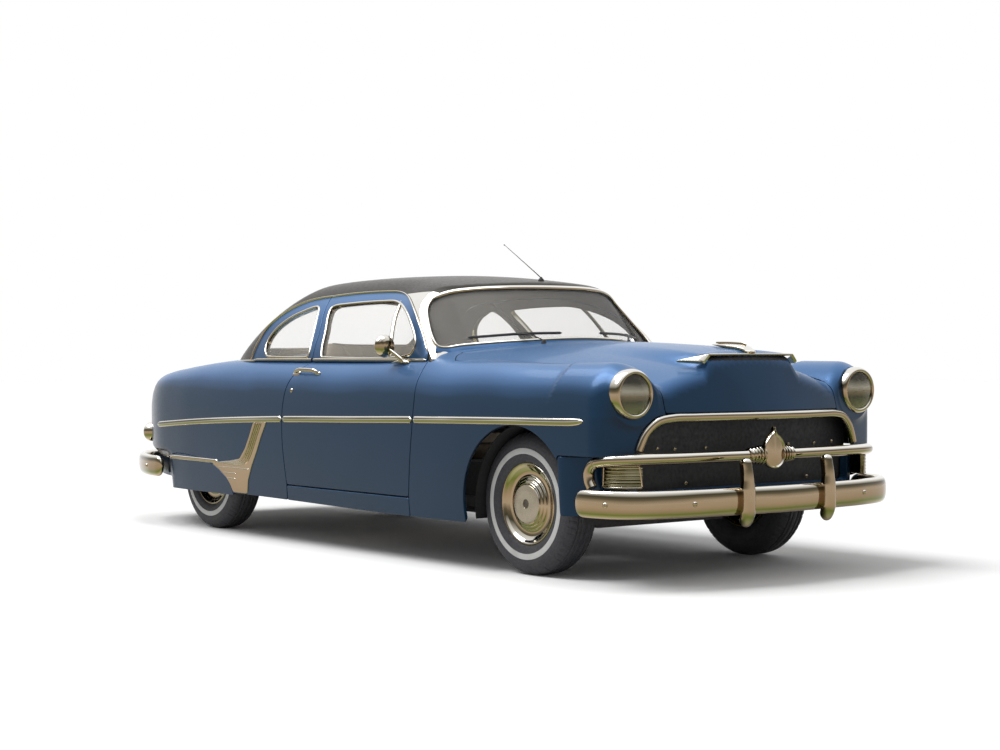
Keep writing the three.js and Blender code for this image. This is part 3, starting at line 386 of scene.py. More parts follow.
def joined(*paths):
    """Paths end to end as one closed loop, without doubled points."""
    loop = np.concatenate(paths)
    keep = np.linalg.norm(loop - np.roll(loop, 1, axis=0), axis=1) > 2.0
    return loop[keep]


def both_halves(half):
    """A path from the middle line round to the middle line, closed by its mirror image."""
    return joined(half, (half * [1, -1, 1])[::-1])


FINE, SHARP_TURN = 2.5, 0.4


def softened(skin, loop, pitch, radius):
    """The loop evenly spaced on the skin, with its corners rolled to a radius."""
    uv = flat(skin, loop)
    run = np.concatenate([[0], np.cumsum(np.linalg.norm(np.roll(loop, -1, axis=0) - loop, axis=1))])
    count = max(12, int(run[-1] / FINE))
    at = np.linspace(0, run[-1], count, endpoint=False)
    closed = np.concatenate([uv, uv[:1]])
    fine = np.stack([np.interp(at, run, closed[:, k]) for k in range(2)], 1)
    reach = max(2, int(radius / FINE))
    before, after = fine - np.roll(fine, reach, axis=0), np.roll(fine, -reach, axis=0) - fine
    lengths = np.linalg.norm(before, axis=1) * np.linalg.norm(after, axis=1)
    turn = np.arccos(np.clip(np.sum(before * after, 1) / (lengths + 1e-9), -1, 1))
    out = fine.copy()
    for i in np.flatnonzero((turn > SHARP_TURN) & (turn >= np.roll(turn, 1)) & (turn >= np.roll(turn, -1))):
        span = np.arange(i - reach, i + reach + 1) % count
        t = np.linspace(0, 1, len(span))[:, None]
        a, b, c = fine[span[0]], fine[i], fine[span[-1]]
        out[span] = (1 - t) ** 2 * a + 2 * t * (1 - t) * b + t * t * c
    step = max(1, int(round(pitch / FINE)))
    return shaped(skin, out[::step])


# %% [markdown]
# ## Cutting a panel
# Pressed panels have a rolled edge of two or three millimetres, a return flange as deep as the piece, and
# an inner skin. The panel maker lays three rings inside the outline, fills the pattern with an even grid,
# joins them by constrained triangulation, and lifts the result onto the formula. Normals are taken from
# the formula itself, so the paint reflects like one smooth form however the triangles fall.

# %% Panel maker
def area2(loop):
    x, y = loop.T
    return float(np.sum(x * np.roll(y, -1) - np.roll(x, -1) * y))


def inside_loops(points, loops):
    """Even-odd test of points against several closed loops."""
    hit = np.zeros(len(points), bool)
    x, y = points.T
    for loop in loops:
        x0, y0 = loop.T
        x1, y1 = np.roll(loop, -1, axis=0).T
        for a, b, c, d in zip(x0, y0, x1, y1):
            crosses = (b > y) != (d > y)
            if b != d:
                hit ^= crosses & (x < a + (c - a) * (y - b) / (d - b))
    return hit


def grid_inside(loops, pitch, margin):
    """Grid points inside the loops, away from their edges, in staggered rows."""
    every = np.concatenate(loops)
    low, high = every.min(0), every.max(0)
    rows = np.arange(low[1] + pitch / 2, high[1], pitch * 0.866)
    across = [np.arange(low[0] + pitch / 2 * (1 + k % 2), high[0], pitch) for k in range(len(rows))]
    grid = np.concatenate([np.c_[x, np.full(len(x), row)] for x, row in zip(across, rows)])
    grid = grid[inside_loops(grid, loops)]
    keep = np.ones(len(grid), bool)
    for start in range(0, len(grid), 4000):
        part = grid[start:start + 4000]
        near = np.min(np.sum((part[:, None] - every[None]) ** 2, 2), 1)
        keep[start:start + 4000] = near > margin * margin
    return grid[keep]


def triangulated(points, loop_sizes, loops):
    """Constrained triangles of the points, kept where they lie inside the loops."""
    edges, start = [], 0
    for n in loop_sizes:
        edges += [(start + i, start + (i + 1) % n) for i in range(n)]
        start += n
    made = delaunay_2d_cdt([Vector(p) for p in points], edges, [], 0, 1e-5)
    source = np.array([s[0] if s else -1 for s in made[3]])
    faces = source[np.array(made[2])]
    faces = faces[(faces >= 0).all(1)]
    return faces[inside_loops(points[faces].mean(1), loops)]


INNER_PITCH = 60.0


def panel_mesh(skin, loops, depth=SHEET, gap=SHUT, pitch=26.0, lean=None, radius=14.0, bead=14.0):
    """Points, normals, faces and face kinds (0 outside, 1 inside, 2 the wall of a hole) of a panel.
    loops are closed 3-D outlines on the skin, the outer one first; pitch and bead are the spacings
    of the points inside and along the edge, and lean slants the flange."""
    oriented = []
    for k, loop in enumerate(loops):
        loop = softened(skin, loop, pitch=bead, radius=radius)
        forwards = area2(flat(skin, loop)) > 0
        oriented.append(loop[::-1] if forwards == (k == 0) else loop)
    ring_uv, ring_normals, ring_sink = [], [], []
    for offset, sink in ((0.0, ROUND), (0.293 * ROUND, 0.293 * ROUND), (ROUND, 0.0)):
        for loop in oriented:
            tangent = np.roll(loop, -1, axis=0) - np.roll(loop, 1, axis=0)
            tangent /= np.linalg.norm(tangent, axis=1)[:, None]
            out = normals_of(skin, loop)
            inward = np.cross(out, tangent)
            share = 1 - sink / ROUND
            normal = out * (share + 0.15) - inward * math.sqrt(max(0, 1 - share * share))
            ring_uv.append(flat(skin, loop + inward * (offset + gap)))
            ring_sink.append(np.full(len(loop), sink))
            ring_normals.append(normal / np.linalg.norm(normal, axis=1)[:, None])
    count = len(oriented)
    border = ring_uv[:count]
    grid = grid_inside(ring_uv[2 * count:], pitch, 0.55 * pitch)
    uv = np.concatenate(ring_uv + [grid])
    sink = np.concatenate(ring_sink + [np.zeros(len(grid))])
    faces = triangulated(uv, [len(r) for r in ring_uv], border)
    points = shaped(skin, uv)
    normals = normals_of(skin, points)
    points = points - normals * sink[:, None]
    normals[:len(uv) - len(grid)] = np.concatenate(ring_normals)
    verts, norms, tris = [points], [normals], [outward(points, normals, faces)]
    kinds = [np.zeros(len(faces), int)]
    total, start, backs = len(points), 0, []
    for k, (loop, uv_loop) in enumerate(zip(oriented, border)):
        n = len(loop)
        edge = points[start:start + n]
        back = shaped(skin, uv_loop, -depth)
        if lean is not None:
            back[:, 0] += lean(edge) * depth
        tangent = np.roll(edge, -1, axis=0) - np.roll(edge, 1, axis=0)
        side = np.cross(tangent, normals_of(skin, edge))
        side /= np.linalg.norm(side, axis=1)[:, None]
        verts += [edge, back]
        norms += [side, side]
        i = np.arange(n)
        j = (i + 1) % n
        a, b, c, d = total + i, total + j, total + n + j, total + n + i
        wall = np.concatenate([np.stack([a, b, c], 1), np.stack([a, c, d], 1)])
        tris.append(outward(np.concatenate(verts), np.concatenate(norms), wall))
        kinds.append(np.full(len(wall), 2 if k else 0))
        total, start = total + 2 * n, start + n
        backs.append(back)
    grid = grid_inside(border, INNER_PITCH, 0.6 * INNER_PITCH)
    faces = triangulated(np.concatenate(border + [grid]), [len(r) for r in border], border)
    middle = shaped(skin, grid, -depth) if len(grid) else np.zeros((0, 3))
    inner = np.concatenate(backs + [middle])
    inner_normals = -normals_of(skin, inner)
    tris.append(outward(inner, inner_normals, faces) + total)
    kinds.append(np.ones(len(faces), int))
    verts.append(inner)
    norms.append(inner_normals)
    return np.concatenate(verts), np.concatenate(norms), np.concatenate(tris), np.concatenate(kinds)


def outward(points, normals, faces):
    """Faces turned so that each one looks the way its corners' normals do."""
    a, b, c = points[faces[:, 0]], points[faces[:, 1]], points[faces[:, 2]]
    looks = np.sum(np.cross(b - a, c - a) * normals[faces].sum(1), axis=1) < 0
    faces = faces.copy()
    faces[looks] = faces[looks][:, ::-1]
    return faces


# %% [markdown]
# ## From arrays to objects
# Every piece is made once for the left side; the right one is its mirror image, with the faces turned
# over again. The helper scales to metres, sets the normals, gives the piece its finish, hangs it under
# the body it rides on and hides the plain piece it stands for.

# %% Object maker
def mark_edges(mesh):
    """A number on every point: 1 where the surface ends or turns sharply, where plating and paint wear."""
    ends = np.zeros(2 * len(mesh.edges), np.int32)
    mesh.edges.foreach_get("vertices", ends)
    used = np.zeros(len(mesh.loops), np.int32)
    mesh.loops.foreach_get("edge_index", used)
    hard = np.bincount(used, minlength=len(mesh.edges)) < 2
    if "sharp_edge" in mesh.attributes:
        turned_hard = np.zeros(len(mesh.edges), bool)
        mesh.attributes["sharp_edge"].data.foreach_get("value", turned_hard)
        hard |= turned_hard
    wear = np.zeros(len(mesh.vertices), np.float32)
    wear[ends.reshape(-1, 2)[hard].ravel()] = 1
    mesh.attributes.new("edge", "FLOAT", "POINT").data.foreach_set("value", wear)


CREASE = math.radians(40)


def mesh_object(name, part, materials):
    points, normals, faces, kinds = part
    mesh = bpy.data.meshes.new(name)
    mesh.from_pydata((points * MM).tolist(), [], faces.tolist())
    for material in materials:
        mesh.materials.append(material)
    mesh.shade_smooth()
    mesh.set_sharp_from_angle(angle=CREASE)
    if len(materials) > 1:
        mesh.polygons.foreach_set("material_index", np.minimum(kinds, len(materials) - 1).astype(np.int32))
    mark_edges(mesh)
    if np.any(normals):
        mesh.normals_split_custom_set_from_vertices(normals.tolist())
    obj = bpy.data.objects.new(name, mesh)
    bpy.context.scene.collection.objects.link(obj)
    return obj


def merged(*parts):
    """Several parts as one."""
    start, out = 0, []
    for p, n, f, k in parts:
        out.append((p, n, np.asarray(f) + start, k))
        start += len(p)
    return tuple(np.concatenate(each) for each in zip(*out))


def flipped(part):
    """The mirror image of a part across the middle of the car."""
    p, n, f, k = part
    mirror = np.array([1, -1, 1])
    return p * mirror, n * mirror, f[:, ::-1], k


def place(name, part, materials, body, slot, replaces=()):
    obj = mesh_object(name, part, materials)
    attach(obj, body)
    if replaces:
        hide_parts(*replaces)
    print(f"{name}: {len(part[2])} faces")
    return obj


def place_pair(name, part, materials, body, slot, replaces=()):
    """The left piece and its mirror image. body and replaces may hold {side}."""
    made = []
    for side, sign in SIDES:
        shape = part if sign > 0 else flipped(part)
        names = [r.format(side=side) for r in replaces]
        made.append(place(f"{side}_{name}", shape, materials, body.format(side=side), slot, names))
    return made


# %% [markdown]
# ## Finishes
# A real finish is never one even colour. Paint has a slow drift of tone, a fine orange-peel ripple under
# the lacquer and thinner colour along pressed edges; chrome has a faint haze and tiny waves from
# polishing. One recipe holds all of that: two close colours mixed by a large soft noise, a finer noise for
# roughness, a finest one for bump, and an edge mask that the panel maker writes into the mesh. Some
# finishes also get painted light and shade by which way each face looks: lighter on top, darker
# underneath, and in chrome and lamps painted reflections of sky and ground.

# %% Finish recipe
def tone(*display):
    """A display colour, red, green and blue from 0 to 255, as the linear colour that a shader takes."""
    return tuple(((c / 255 + 0.055) / 1.055) ** 2.4 if c > 10 else c / 3294.6 for c in display) + (1.0,)


def add_node(tree, kind, **values):
    node = tree.nodes.new(kind)
    for key, value in values.items():
        if key in node.inputs:
            node.inputs[key].default_value = value
        else:
            setattr(node, key, value)
    return node


def noise(tree, scale, detail=3.0):
    place = add_node(tree, "ShaderNodeTexCoord")
    field = add_node(tree, "ShaderNodeTexNoise", Scale=scale, Detail=detail)
    tree.links.new(place.outputs["Object"], field.inputs["Vector"])
    return field.outputs["Fac"]


def spread_to(tree, value, low, high):
    """A noise value, which stays between 0.3 and 0.7, stretched to a wider range."""
    span = {"From Min": 0.3, "From Max": 0.7, "To Min": low, "To Max": high}
    node = add_node(tree, "ShaderNodeMapRange", **span)
    tree.links.new(value, node.inputs["Value"])
    return node.outputs["Result"]


def blend_colours(tree, share, first, second):
    node = add_node(tree, "ShaderNodeMix", data_type="RGBA")
    for socket, value in ((node.inputs[0], share), (node.inputs[6], first), (node.inputs[7], second)):
        if isinstance(value, bpy.types.NodeSocket):
            tree.links.new(value, socket)
        else:
            socket.default_value = value
    return node.outputs[2]


def painted_light_by_facing(tree, surface, stops):
    """Painted light and shade: a surface tinted by how far its faces look down or up, lighter on top as if
    lit from above, darker underneath as if in shade, and in chrome with painted reflections of sky and
    ground.
    """
    place = add_node(tree, "ShaderNodeNewGeometry")
    split = add_node(tree, "ShaderNodeSeparateXYZ")
    wander = add_node(tree, "ShaderNodeMath", operation="MULTIPLY_ADD")
    wander.inputs[1].default_value = 0.5
    ramp = add_node(tree, "ShaderNodeValToRGB")
    tree.links.new(place.outputs["Normal"], split.inputs[0])
    tree.links.new(split.outputs["Z"], wander.inputs[0])
    tree.links.new(spread_to(tree, noise(tree, 1.6, 2.0), 0.47, 0.53), wander.inputs[2])
    tree.links.new(wander.outputs[0], ramp.inputs[0])
    bands = ramp.color_ramp.elements
    while len(bands) < len(stops):
        bands.new(0.5)
    for band, (at, colour) in zip(bands, stops):
        band.position, band.color = (at + 1) / 2, colour
    mixed = add_node(tree, "ShaderNodeMix", data_type="RGBA", blend_type="MULTIPLY")
    mixed.inputs[0].default_value = 1.0
    tree.links.new(surface, mixed.inputs[6])
    tree.links.new(ramp.outputs[0], mixed.inputs[7])
    return mixed.outputs[2]


def finish(name, colour, other, rough, metal=0.0, drift=1.3, grain=60.0, bump=0.05, bump_scale=400.0,
           worn=None, facing=None, **sockets):
    """colour drifts to other; rough holds the lowest and highest roughness; worn shows along edges,
    and facing holds painted light and shade: tones for faces from downward to upward."""
    material = bpy.data.materials.new(name)
    material.use_nodes = True
    tree = material.node_tree
    shader = tree.nodes["Principled BSDF"]
    shader.inputs["Metallic"].default_value = metal
    for key, value in sockets.items():
        shader.inputs[key.replace("_", " ")].default_value = value
    surface = blend_colours(tree, spread_to(tree, noise(tree, drift), 0, 1), colour, other)
    if worn:
        edge = add_node(tree, "ShaderNodeAttribute", attribute_name="edge")
        patchy = add_node(tree, "ShaderNodeMath", operation="MULTIPLY")
        tree.links.new(edge.outputs["Fac"], patchy.inputs[0])
        tree.links.new(spread_to(tree, noise(tree, 35.0), 0.1, 0.8), patchy.inputs[1])
        surface = blend_colours(tree, patchy.outputs[0], surface, worn)
    if facing:
        surface = painted_light_by_facing(tree, surface, facing)
    tree.links.new(surface, shader.inputs["Base Color"])
    tree.links.new(spread_to(tree, noise(tree, grain, 4.0), *rough), shader.inputs["Roughness"])
    ripple = add_node(tree, "ShaderNodeBump", Strength=bump, Distance=0.001)
    tree.links.new(noise(tree, bump_scale, 2.0), ripple.inputs["Height"])
    tree.links.new(ripple.outputs["Normal"], shader.inputs["Normal"])
    return material


# The paint's facing tones are painted light and shade: faces that look up stay light, as if lit from above
# and mirroring the sky, while side and downward faces are darkened as painted shade.
blue_paint = finish("blue_paint", tone(78, 117, 164), tone(74, 112, 157), (0.28, 0.36), 0.3, drift=0.9,
    bump=0.02,
                    worn=tone(84, 122, 164), Coat_Weight=0.2, Coat_Roughness=0.06, Coat_IOR=1.35,
                    Specular_IOR_Level=0.15, facing=[
                        (-0.9, tone(37, 56, 60)), (-0.3, tone(47, 75, 78)), (0.0, tone(54, 100, 105)),
                        (0.25, tone(62, 108, 114)), (0.45, tone(142, 164, 172)),
                        (0.65, tone(206, 214, 220)),
                        (0.9, tone(255, 255, 255))])
roof_paint = finish("dark_roof_paint", tone(34, 31, 25), tone(39, 35, 28), (0.30, 0.40), 0.05, drift=0.9,
    bump=0.02,
                    worn=tone(84, 78, 66), Coat_Weight=0.1, Coat_Roughness=0.08, Coat_IOR=1.35,
                    Specular_IOR_Level=0.12)
# The chrome's facing tones are painted reflections: white on faces that look up, as the sky, and brown,
# olive and dark bands lower down, as the ground and surroundings.
chrome = finish("bright_chrome", tone(240, 238, 233), tone(232, 228, 219), (0.05, 0.12), 1.0, drift=2.2,
    bump=0.03,
                bump_scale=60.0, worn=tone(244, 242, 236), facing=[
                    (-1.0, tone(150, 122, 100)), (-0.74, tone(206, 186, 160)), (-0.52, tone(158, 154, 112)),
                    (-0.3, tone(104, 112, 52)), (-0.1, tone(152, 130, 102)), (0.04, tone(170, 150, 124)),
                    (0.15, tone(98, 88, 68)), (0.26, tone(66, 62, 48)), (0.38, tone(180, 176, 166)),
                    (0.6, tone(255, 255, 255))])
window_pane = finish("window_pane", tone(250, 244, 232), tone(244, 238, 226), (0.0, 0.02), bump=0.0,
    Alpha=0.10,
                     Specular_IOR_Level=0.3)
black_metal = finish("black_underbody", tone(20, 20, 21), tone(32, 31, 30), (0.55, 0.8), 0.2, drift=6.0,
    bump=0.3,
                     bump_scale=160.0)
headlining = finish("grey_headlining", tone(52, 52, 60), tone(46, 46, 54), (0.85, 0.95), drift=3.0,
    bump=0.4,
                    bump_scale=900.0, Sheen_Weight=0.3)
print("finishes:", len(bpy.data.materials))

# %% [markdown]
# ## Shared shut lines
# Two neighbouring panels meet along one line, so each line is made once and both panels use it; the gap
# comes from the small inset that each panel gets. The names say where the line runs, and every line is
# for the left side only.

# %% Shut lines of the lower body
def side_line(xz, count):
    return from_side(BODY, spline(xz, count))


def above_line(xy, count=40, z=620.0):
    return from_above(BODY, spline(xy, count), z)


LOW_START = 320.0
TAIL_START = -2100.0
SCREEN_START = 250.0


def bottom_line(first, last, count=30):
    x = np.linspace(first, last, count)
    return from_side(BODY, np.stack([x, body_bottom(x)], 1))


BELT_PLAN_Y = 822.0
door_rear_low = np.concatenate([
    side_line([(-352, 340), (-377, 600), (-368, 800), (-345, 930), (-312, 990)], 40),
    from_above(BODY, np.array([(-256.0, BELT_PLAN_Y)])),
])
door_front_low = np.concatenate([
    from_above(BODY, np.array([(853.0, BELT_PLAN_Y)])),
    side_line([(876, 985), (886, 925), (900, 840), (893, 720), (868, 560), (836, 340)], 40),
])
hood_rear = above_line([(1190, 0), (1150, 240), (1058, 440), (985, 600), (964, 690)])
hood_corner = above_line([(964, 690), (985, 745), (1057, 811)], 8)
nose_low = from_front(BODY, np.array([(590.0, 804.0)]))
hood_top_side = above_line([(1057, 811), (1500, 728), (2000, 642), (2330, 590)])
hood_nose_side = fan(BODY, (2100, 590, 700), hood_top_side[-1], nose_low[0], 24)
hood_side = np.concatenate([hood_top_side, hood_nose_side])
hood_front = from_front(BODY, np.linspace((590.0, 804.0), (0.0, 804.0), 40))
lid_plan = above_line([(-1500, 0), (-1500, 300), (-1502, 470), (-1530, 535), (-1600, 560), (-2200, 560),
    (-2350, 532)], 60, LOW_START)
lid_low = from_front(BODY, np.linspace((520.0, 600.0), (0.0, 600.0), 30), TAIL_START)
lid_tail_side = fan(BODY, (-2150, 400, 620), lid_plan[-1], lid_low[0], 24)
grille_side = from_front(BODY, spline([(579, 798), (646, 785), (709, 731), (745, 660), (754, 606)], 24))
seam_side = from_side(BODY, np.array([(2030.0, 606.0)]))
nose_seam = fan(BODY, (1900, 300, 606), grille_side[-1], seam_side[0], 30)
arch_turn = np.linspace(math.asin(247 / 407), math.pi + math.asin(90 / 407), 60)
front_arch = from_side(BODY, np.stack([1708 + 405 * np.cos(arch_turn), 330 + 407 * np.sin(arch_turn)], 1))
skirt_edge = [(-962, 252), (-987, 300), (-1026, 340), (-1103, 382), (-1196, 420), (-1240, 434),
    (-1755, 438), (-1772, 300)]
print("hood side line:", len(hood_side), "points")

# %% [markdown]
# ## Hood, trunk lid and fenders
# The hood is the biggest single pressing on the car, and its raised middle ends in an air scoop. The
# fenders carry the crown line over the wheels and the barrel round the headlamps, and meet the hood along
# its whole side.

# %% Hood, lid and fenders
def painted(name, part, node, body="body", finishes=(blue_paint, black_metal)):
    """A body panel with its outside, inside and hole finishes; {side} in its node's name makes a pair."""
    make = place_pair if "{side}" in node else place
    return make(name, part, list(finishes), body, "body_paint", [node])


hood_half = joined(hood_rear, hood_corner, hood_side, hood_front)
hood_mesh = panel_mesh(HOOD, [both_halves(hood_half)], gap=2.0, pitch=24.0, bead=11.0)
painted("hood_panel", hood_mesh, "hood", body="hood")

lid = panel_mesh(LID, [both_halves(joined(lid_plan, lid_tail_side, lid_low))], gap=2.0, pitch=26.0)
painted("trunk_lid_panel", lid, "trunk_lid", body="trunk_lid")

fender_loop = joined(
    above_line([(858, BELT_PLAN_Y), (863, 692), (964, 692)], 12), hood_corner, hood_side,
    grille_side, nose_seam, from_side(BODY, np.array([(2030.0, 585.0)])), front_arch,
    bottom_line(1313, 838), door_front_low[::-1],
)
fender = panel_mesh(FENDER, [fender_loop], gap=1.6, pitch=24.0, bead=10.0)
painted("front_fender_panel", fender, "{side}_front_fender")

# %% [markdown]
# ## Sides and tail
# The quarter panel runs from the door to the tail and carries the frame of the rear side window, so it is
# cut from both forms and joined. The skirt over the rear wheel is a panel of its own that lifts off with a
# spanner. Sill, tail panel, deck and cowl close the gaps between the big panels.

# %% Sides and tail
QUARTER_WINDOW = spline([
    (-655, 1062), (-760, 1070), (-812, 1120), (-815, 1180), (-780, 1235), (-700, 1290), (-600, 1328),
    (-462, 1352), (-400, 1290), (-330, 1150), (-304, 1068), (-330, 1062), (-630, 1061),
], 150, closed=True)
DOOR_WINDOW = spline([
    (-162, 1063), (-239, 1214), (-312, 1342), (-294, 1354), (-142, 1366), (153, 1373), (300, 1369),
    (432, 1336),
    (560, 1275), (655, 1200), (700, 1134), (694, 1086), (635, 1067), (-140, 1061),
], 200, closed=True)
tail_corner = fan(BODY, (-2250, 300, 332), (-2700, 566, 332), (-2300, 1200, 332), 24)
lid_side = np.concatenate([lid_plan[12:], lid_tail_side])
quarter_loop = joined(
    door_rear_low, above_line([(-800, 690), (-1070, 689), (-1482, 640), (-1505, 600), (-1530, 545)], 24,
    LOW_START),
    lid_side, from_front(BODY, np.linspace((566, 594), (566, 340), 10), TAIL_START), tail_corner,
    bottom_line(-2250, -1772, 12), side_line(skirt_edge[::-1], 60), bottom_line(-962, -356, 14),
)
quarter_low = panel_mesh(BODY, [quarter_loop], gap=1.8)
split_line = spline([(-250, 1045), (-300, 1215), (-385, 1360), (-416, 1408)], 24)
rear_rail = spline([(-940, 1036), (-916, 1220), (-835, 1305), (-677, 1378), (-521, 1405), (-416, 1412)], 40)
quarter_frame_loop = joined(
    from_side(CABIN, split_line), from_side(CABIN, rear_rail[::-1]),
    from_side(CABIN, np.linspace((-940, 1036), (-250, 1036), 30)))
quarter_frame = panel_mesh(CABIN, [quarter_frame_loop, from_side(CABIN, QUARTER_WINDOW)], FRAME_DEPTH, 1.8,
    bead=10.0)
painted("quarter_panel_skin", merged(quarter_low, quarter_frame), "{side}_quarter_panel",
    finishes=(blue_paint, headlining, chrome))

skirt_loop = joined(side_line(skirt_edge, 60), from_side(BODY, np.linspace((-1772, 242), (-962, 242), 30)))
painted("skirt_panel", panel_mesh(BODY, [skirt_loop], gap=1.6, bead=10.0), "{side}_fender_skirt")
sill_loop = joined(from_side(BODY, np.linspace((-352, 335), (836, 335), 40)), bottom_line(836, -352, 40))
painted("sill_panel", panel_mesh(BODY, [sill_loop], gap=1.6, radius=5.0), "{side}_sill")
tail_half = from_front(TAIL, np.concatenate([
    np.linspace((0, 594), (562, 594), 30), np.linspace((562, 580), (562, 340), 12),
    np.linspace((540, 334), (0, 334), 30)]), TAIL_START)
painted("tail_panel_skin", panel_mesh(TAIL, [both_halves(tail_half)], gap=1.6), "tail_panel")
deck_half = joined(
    above_line([(-1500, 0), (-1500, 300), (-1502, 470), (-1530, 545)], 24, LOW_START),
    above_line([(-1530, 545), (-1505, 600), (-1482, 640), (-1070, 689), (-800, 690)], 24, LOW_START),
    above_line([(-800, 600), (-800, 0)], 16, LOW_START))
painted("rear_deck_skin", panel_mesh(LID, [both_halves(deck_half)], gap=1.4), "rear_deck_panel",
    finishes=(blue_paint, headlining))
cowl_half = joined(hood_rear, above_line([(963, 690), (640, 690), (640, 0)], 40))
painted("cowl_skin", panel_mesh(BODY, [both_halves(cowl_half)], gap=1.6), "cowl")
apron_half = joined(
    fan(APRON, (2000, 0, 322), (2700, 0, 322), (2031, 900, 322), 50),
    fan(APRON, (2000, 0, 602), (2031, 900, 602), (2420, 754, 602), 20),
    from_front(APRON, np.concatenate([
        np.linspace((754, 590), (754, 436), 12), np.linspace((740, 432), (0, 432), 50)])))
painted("front_apron_skin", panel_mesh(APRON, [both_halves(apron_half)], gap=1.6, pitch=22.0),
    "front_apron")

# %% [markdown]
# ## Doors
# A door is a deep box below the belt and a slim frame round the window above it. The two are cut from the
# two forms and joined, and both swing on the same hinge. Its rear edge is cut on a slant, so that the
# edge clears the body as the door opens.

# %% Doors
def door_lean(edge):
    """How far the door's rear edge runs forwards for each millimetre inwards."""
    share = np.clip((-100 - edge[:, 0]) / 140, 0, 1)
    slant = 0.03 + 1.3 * np.maximum(0, HINGE[1] - np.abs(edge[:, 1])) / (HINGE[0] - edge[:, 0])
    return share * slant


roof_rail = spline([(-248, 1423), (50, 1428), (262, 1421), (400, 1394), (510, 1354), (622, 1294),
    (721, 1216), (839, 1092)], 60)
door_loop = joined(door_rear_low, door_front_low, side_line([(836, 340), (-352, 340)], 40))
door_low = panel_mesh(BODY, [door_loop], DOOR_DEPTH, 2.4, lean=door_lean)
frame_loop = joined(
    from_side(CABIN, split_line), from_side(CABIN, roof_rail),
    from_side(CABIN, np.array([(852.0, 1044.0), (850.0, 1036.0)])),
    from_side(CABIN, np.linspace((830, 1036), (-250, 1036), 30)))
door_frame = panel_mesh(CABIN, [frame_loop, from_side(CABIN, DOOR_WINDOW)], FRAME_DEPTH, 2.4,
    lean=door_lean, bead=10.0)
painted("door_shell", merged(door_low, door_frame), "{side}_door", body="{side}_door",
    finishes=(blue_paint, headlining, chrome))

# %% [markdown]
# ## Roof and glass
# The roof is one dark pressing with the windshield and rear window cut out of it. Its pillars run down
# inside the cowl and deck, so no gap shows at their feet. The panes lie a little below the surface, as
# they do in their rubber channels, and carry a thickness of their own.

# %% Roof and glass
SCREEN_HALF = [
    (0, 1168), (400, 1152), (620, 1132), (722, 1118), (757, 1126), (756, 1170), (731, 1244), (699, 1315),
    (649, 1372), (576, 1406), (468, 1425), (300, 1435), (0, 1438),
]
BACKLIGHT_HALF = [
    (0, 1116), (350, 1114), (500, 1118), (555, 1140), (560, 1180), (530, 1250), (470, 1330), (390, 1375),
    (230, 1402), (0, 1410),
]


def whole_window(half, count):
    half = np.array(half, float)
    mirrored = half[1:-1][::-1] * [-1, 1]
    return spline(np.concatenate([half, mirrored]), count, closed=True)


screen_edge = from_front(CABIN, whole_window(SCREEN_HALF, 260), SCREEN_START)
backlight_edge = from_front(CABIN, whole_window(BACKLIGHT_HALF, 200), -650.0)
side_rail = np.concatenate([from_side(CABIN, rear_rail), from_side(CABIN, roof_rail[2:])])
roof_half = joined(
    fan(CABIN, (-880, 0, 1036), (-2000, 0, 1036), (-940, 830, 1036), 40), side_rail,
    from_side(CABIN, np.array([(866.0, 1036.0)])), fan(CABIN, (580, 0, 1036), (866, 830, 1036),
    (2000, 0, 1036), 40))
roof = panel_mesh(CABIN, [both_halves(roof_half), screen_edge, backlight_edge], 26.0, 1.6, pitch=28.0,
    bead=12.0)
place("roof_skin", roof, [roof_paint, headlining, black_metal], "body", "roof_paint", ["roof_panel"])

PANE = cabin_skin(-12.0)


def pane(name, edge, body, node, pair=True):
    part = panel_mesh(PANE, [edge], 5.0, -4.0, pitch=45.0)
    if pair:
        return place_pair(name, part, [window_pane], body, "window_glass", [node])
    return place(name, part, [window_pane], body, "window_glass", [node])


pane("windshield_pane", screen_edge, "body", "windshield", False)
pane("rear_window_pane", backlight_edge, "body", "rear_window", False)
pane("door_pane", from_side(PANE, DOOR_WINDOW), "{side}_door", "{side}_door_glass")
pane("quarter_pane", from_side(PANE, QUARTER_WINDOW), "body", "{side}_quarter_glass")

# %% [markdown]
# ## Drawn and rolled pieces
# Mouldings, bumpers, tubes and turned parts are all one idea: a section carried along a line. The helper
# places the section at each point with two directions, sideways and up, and closes the ends. A turned
# part is a section carried round an axis, and a moulding is one that stands on the body's own normals.

# %% Carrying a section along a line
def auto(points, faces, kinds):
    """A part whose normals Blender works out, with its faces turned to look outwards."""
    points, faces = np.asarray(points, float), np.asarray(faces, int)
    a, b, c = (points[faces[:, k]] - points.mean(0) for k in range(3))
    if np.sum(a * np.cross(b, c)) < 0:
        faces = faces[:, ::-1]
    return points, np.zeros_like(points), faces, kinds


def skinned(rings, closed=False, kinds=None):
    """A surface through rings of equally many points; the rings themselves are closed."""
    n, m = rings.shape[:2]
    i, j = (g.ravel() for g in np.meshgrid(np.arange(n if closed else n - 1), np.arange(m), indexing="ij"))
    a, b = i * m + j, i * m + (j + 1) % m
    c, d = (i + 1) % n * m + (j + 1) % m, (i + 1) % n * m + j
    faces = [np.stack([a, b, c], 1), np.stack([a, c, d], 1)]
    points = [rings.reshape(-1, 3)]
    kind = [np.zeros(len(a), int) if kinds is None else kinds[j]] * 2
    if not closed:
        for ring, at in ((0, n * m), (n - 1, n * m + 1)):
            points.append(rings[ring].mean(0)[None])
            j = np.arange(m)
            order = (j, (j + 1) % m) if ring else ((j + 1) % m, j)
            faces.append(np.stack([ring * m + order[0], ring * m + order[1], np.full(m, at)], 1))
            kind.append(np.zeros(m, int))
    return auto(np.concatenate(points), np.concatenate(faces), np.concatenate(kind))


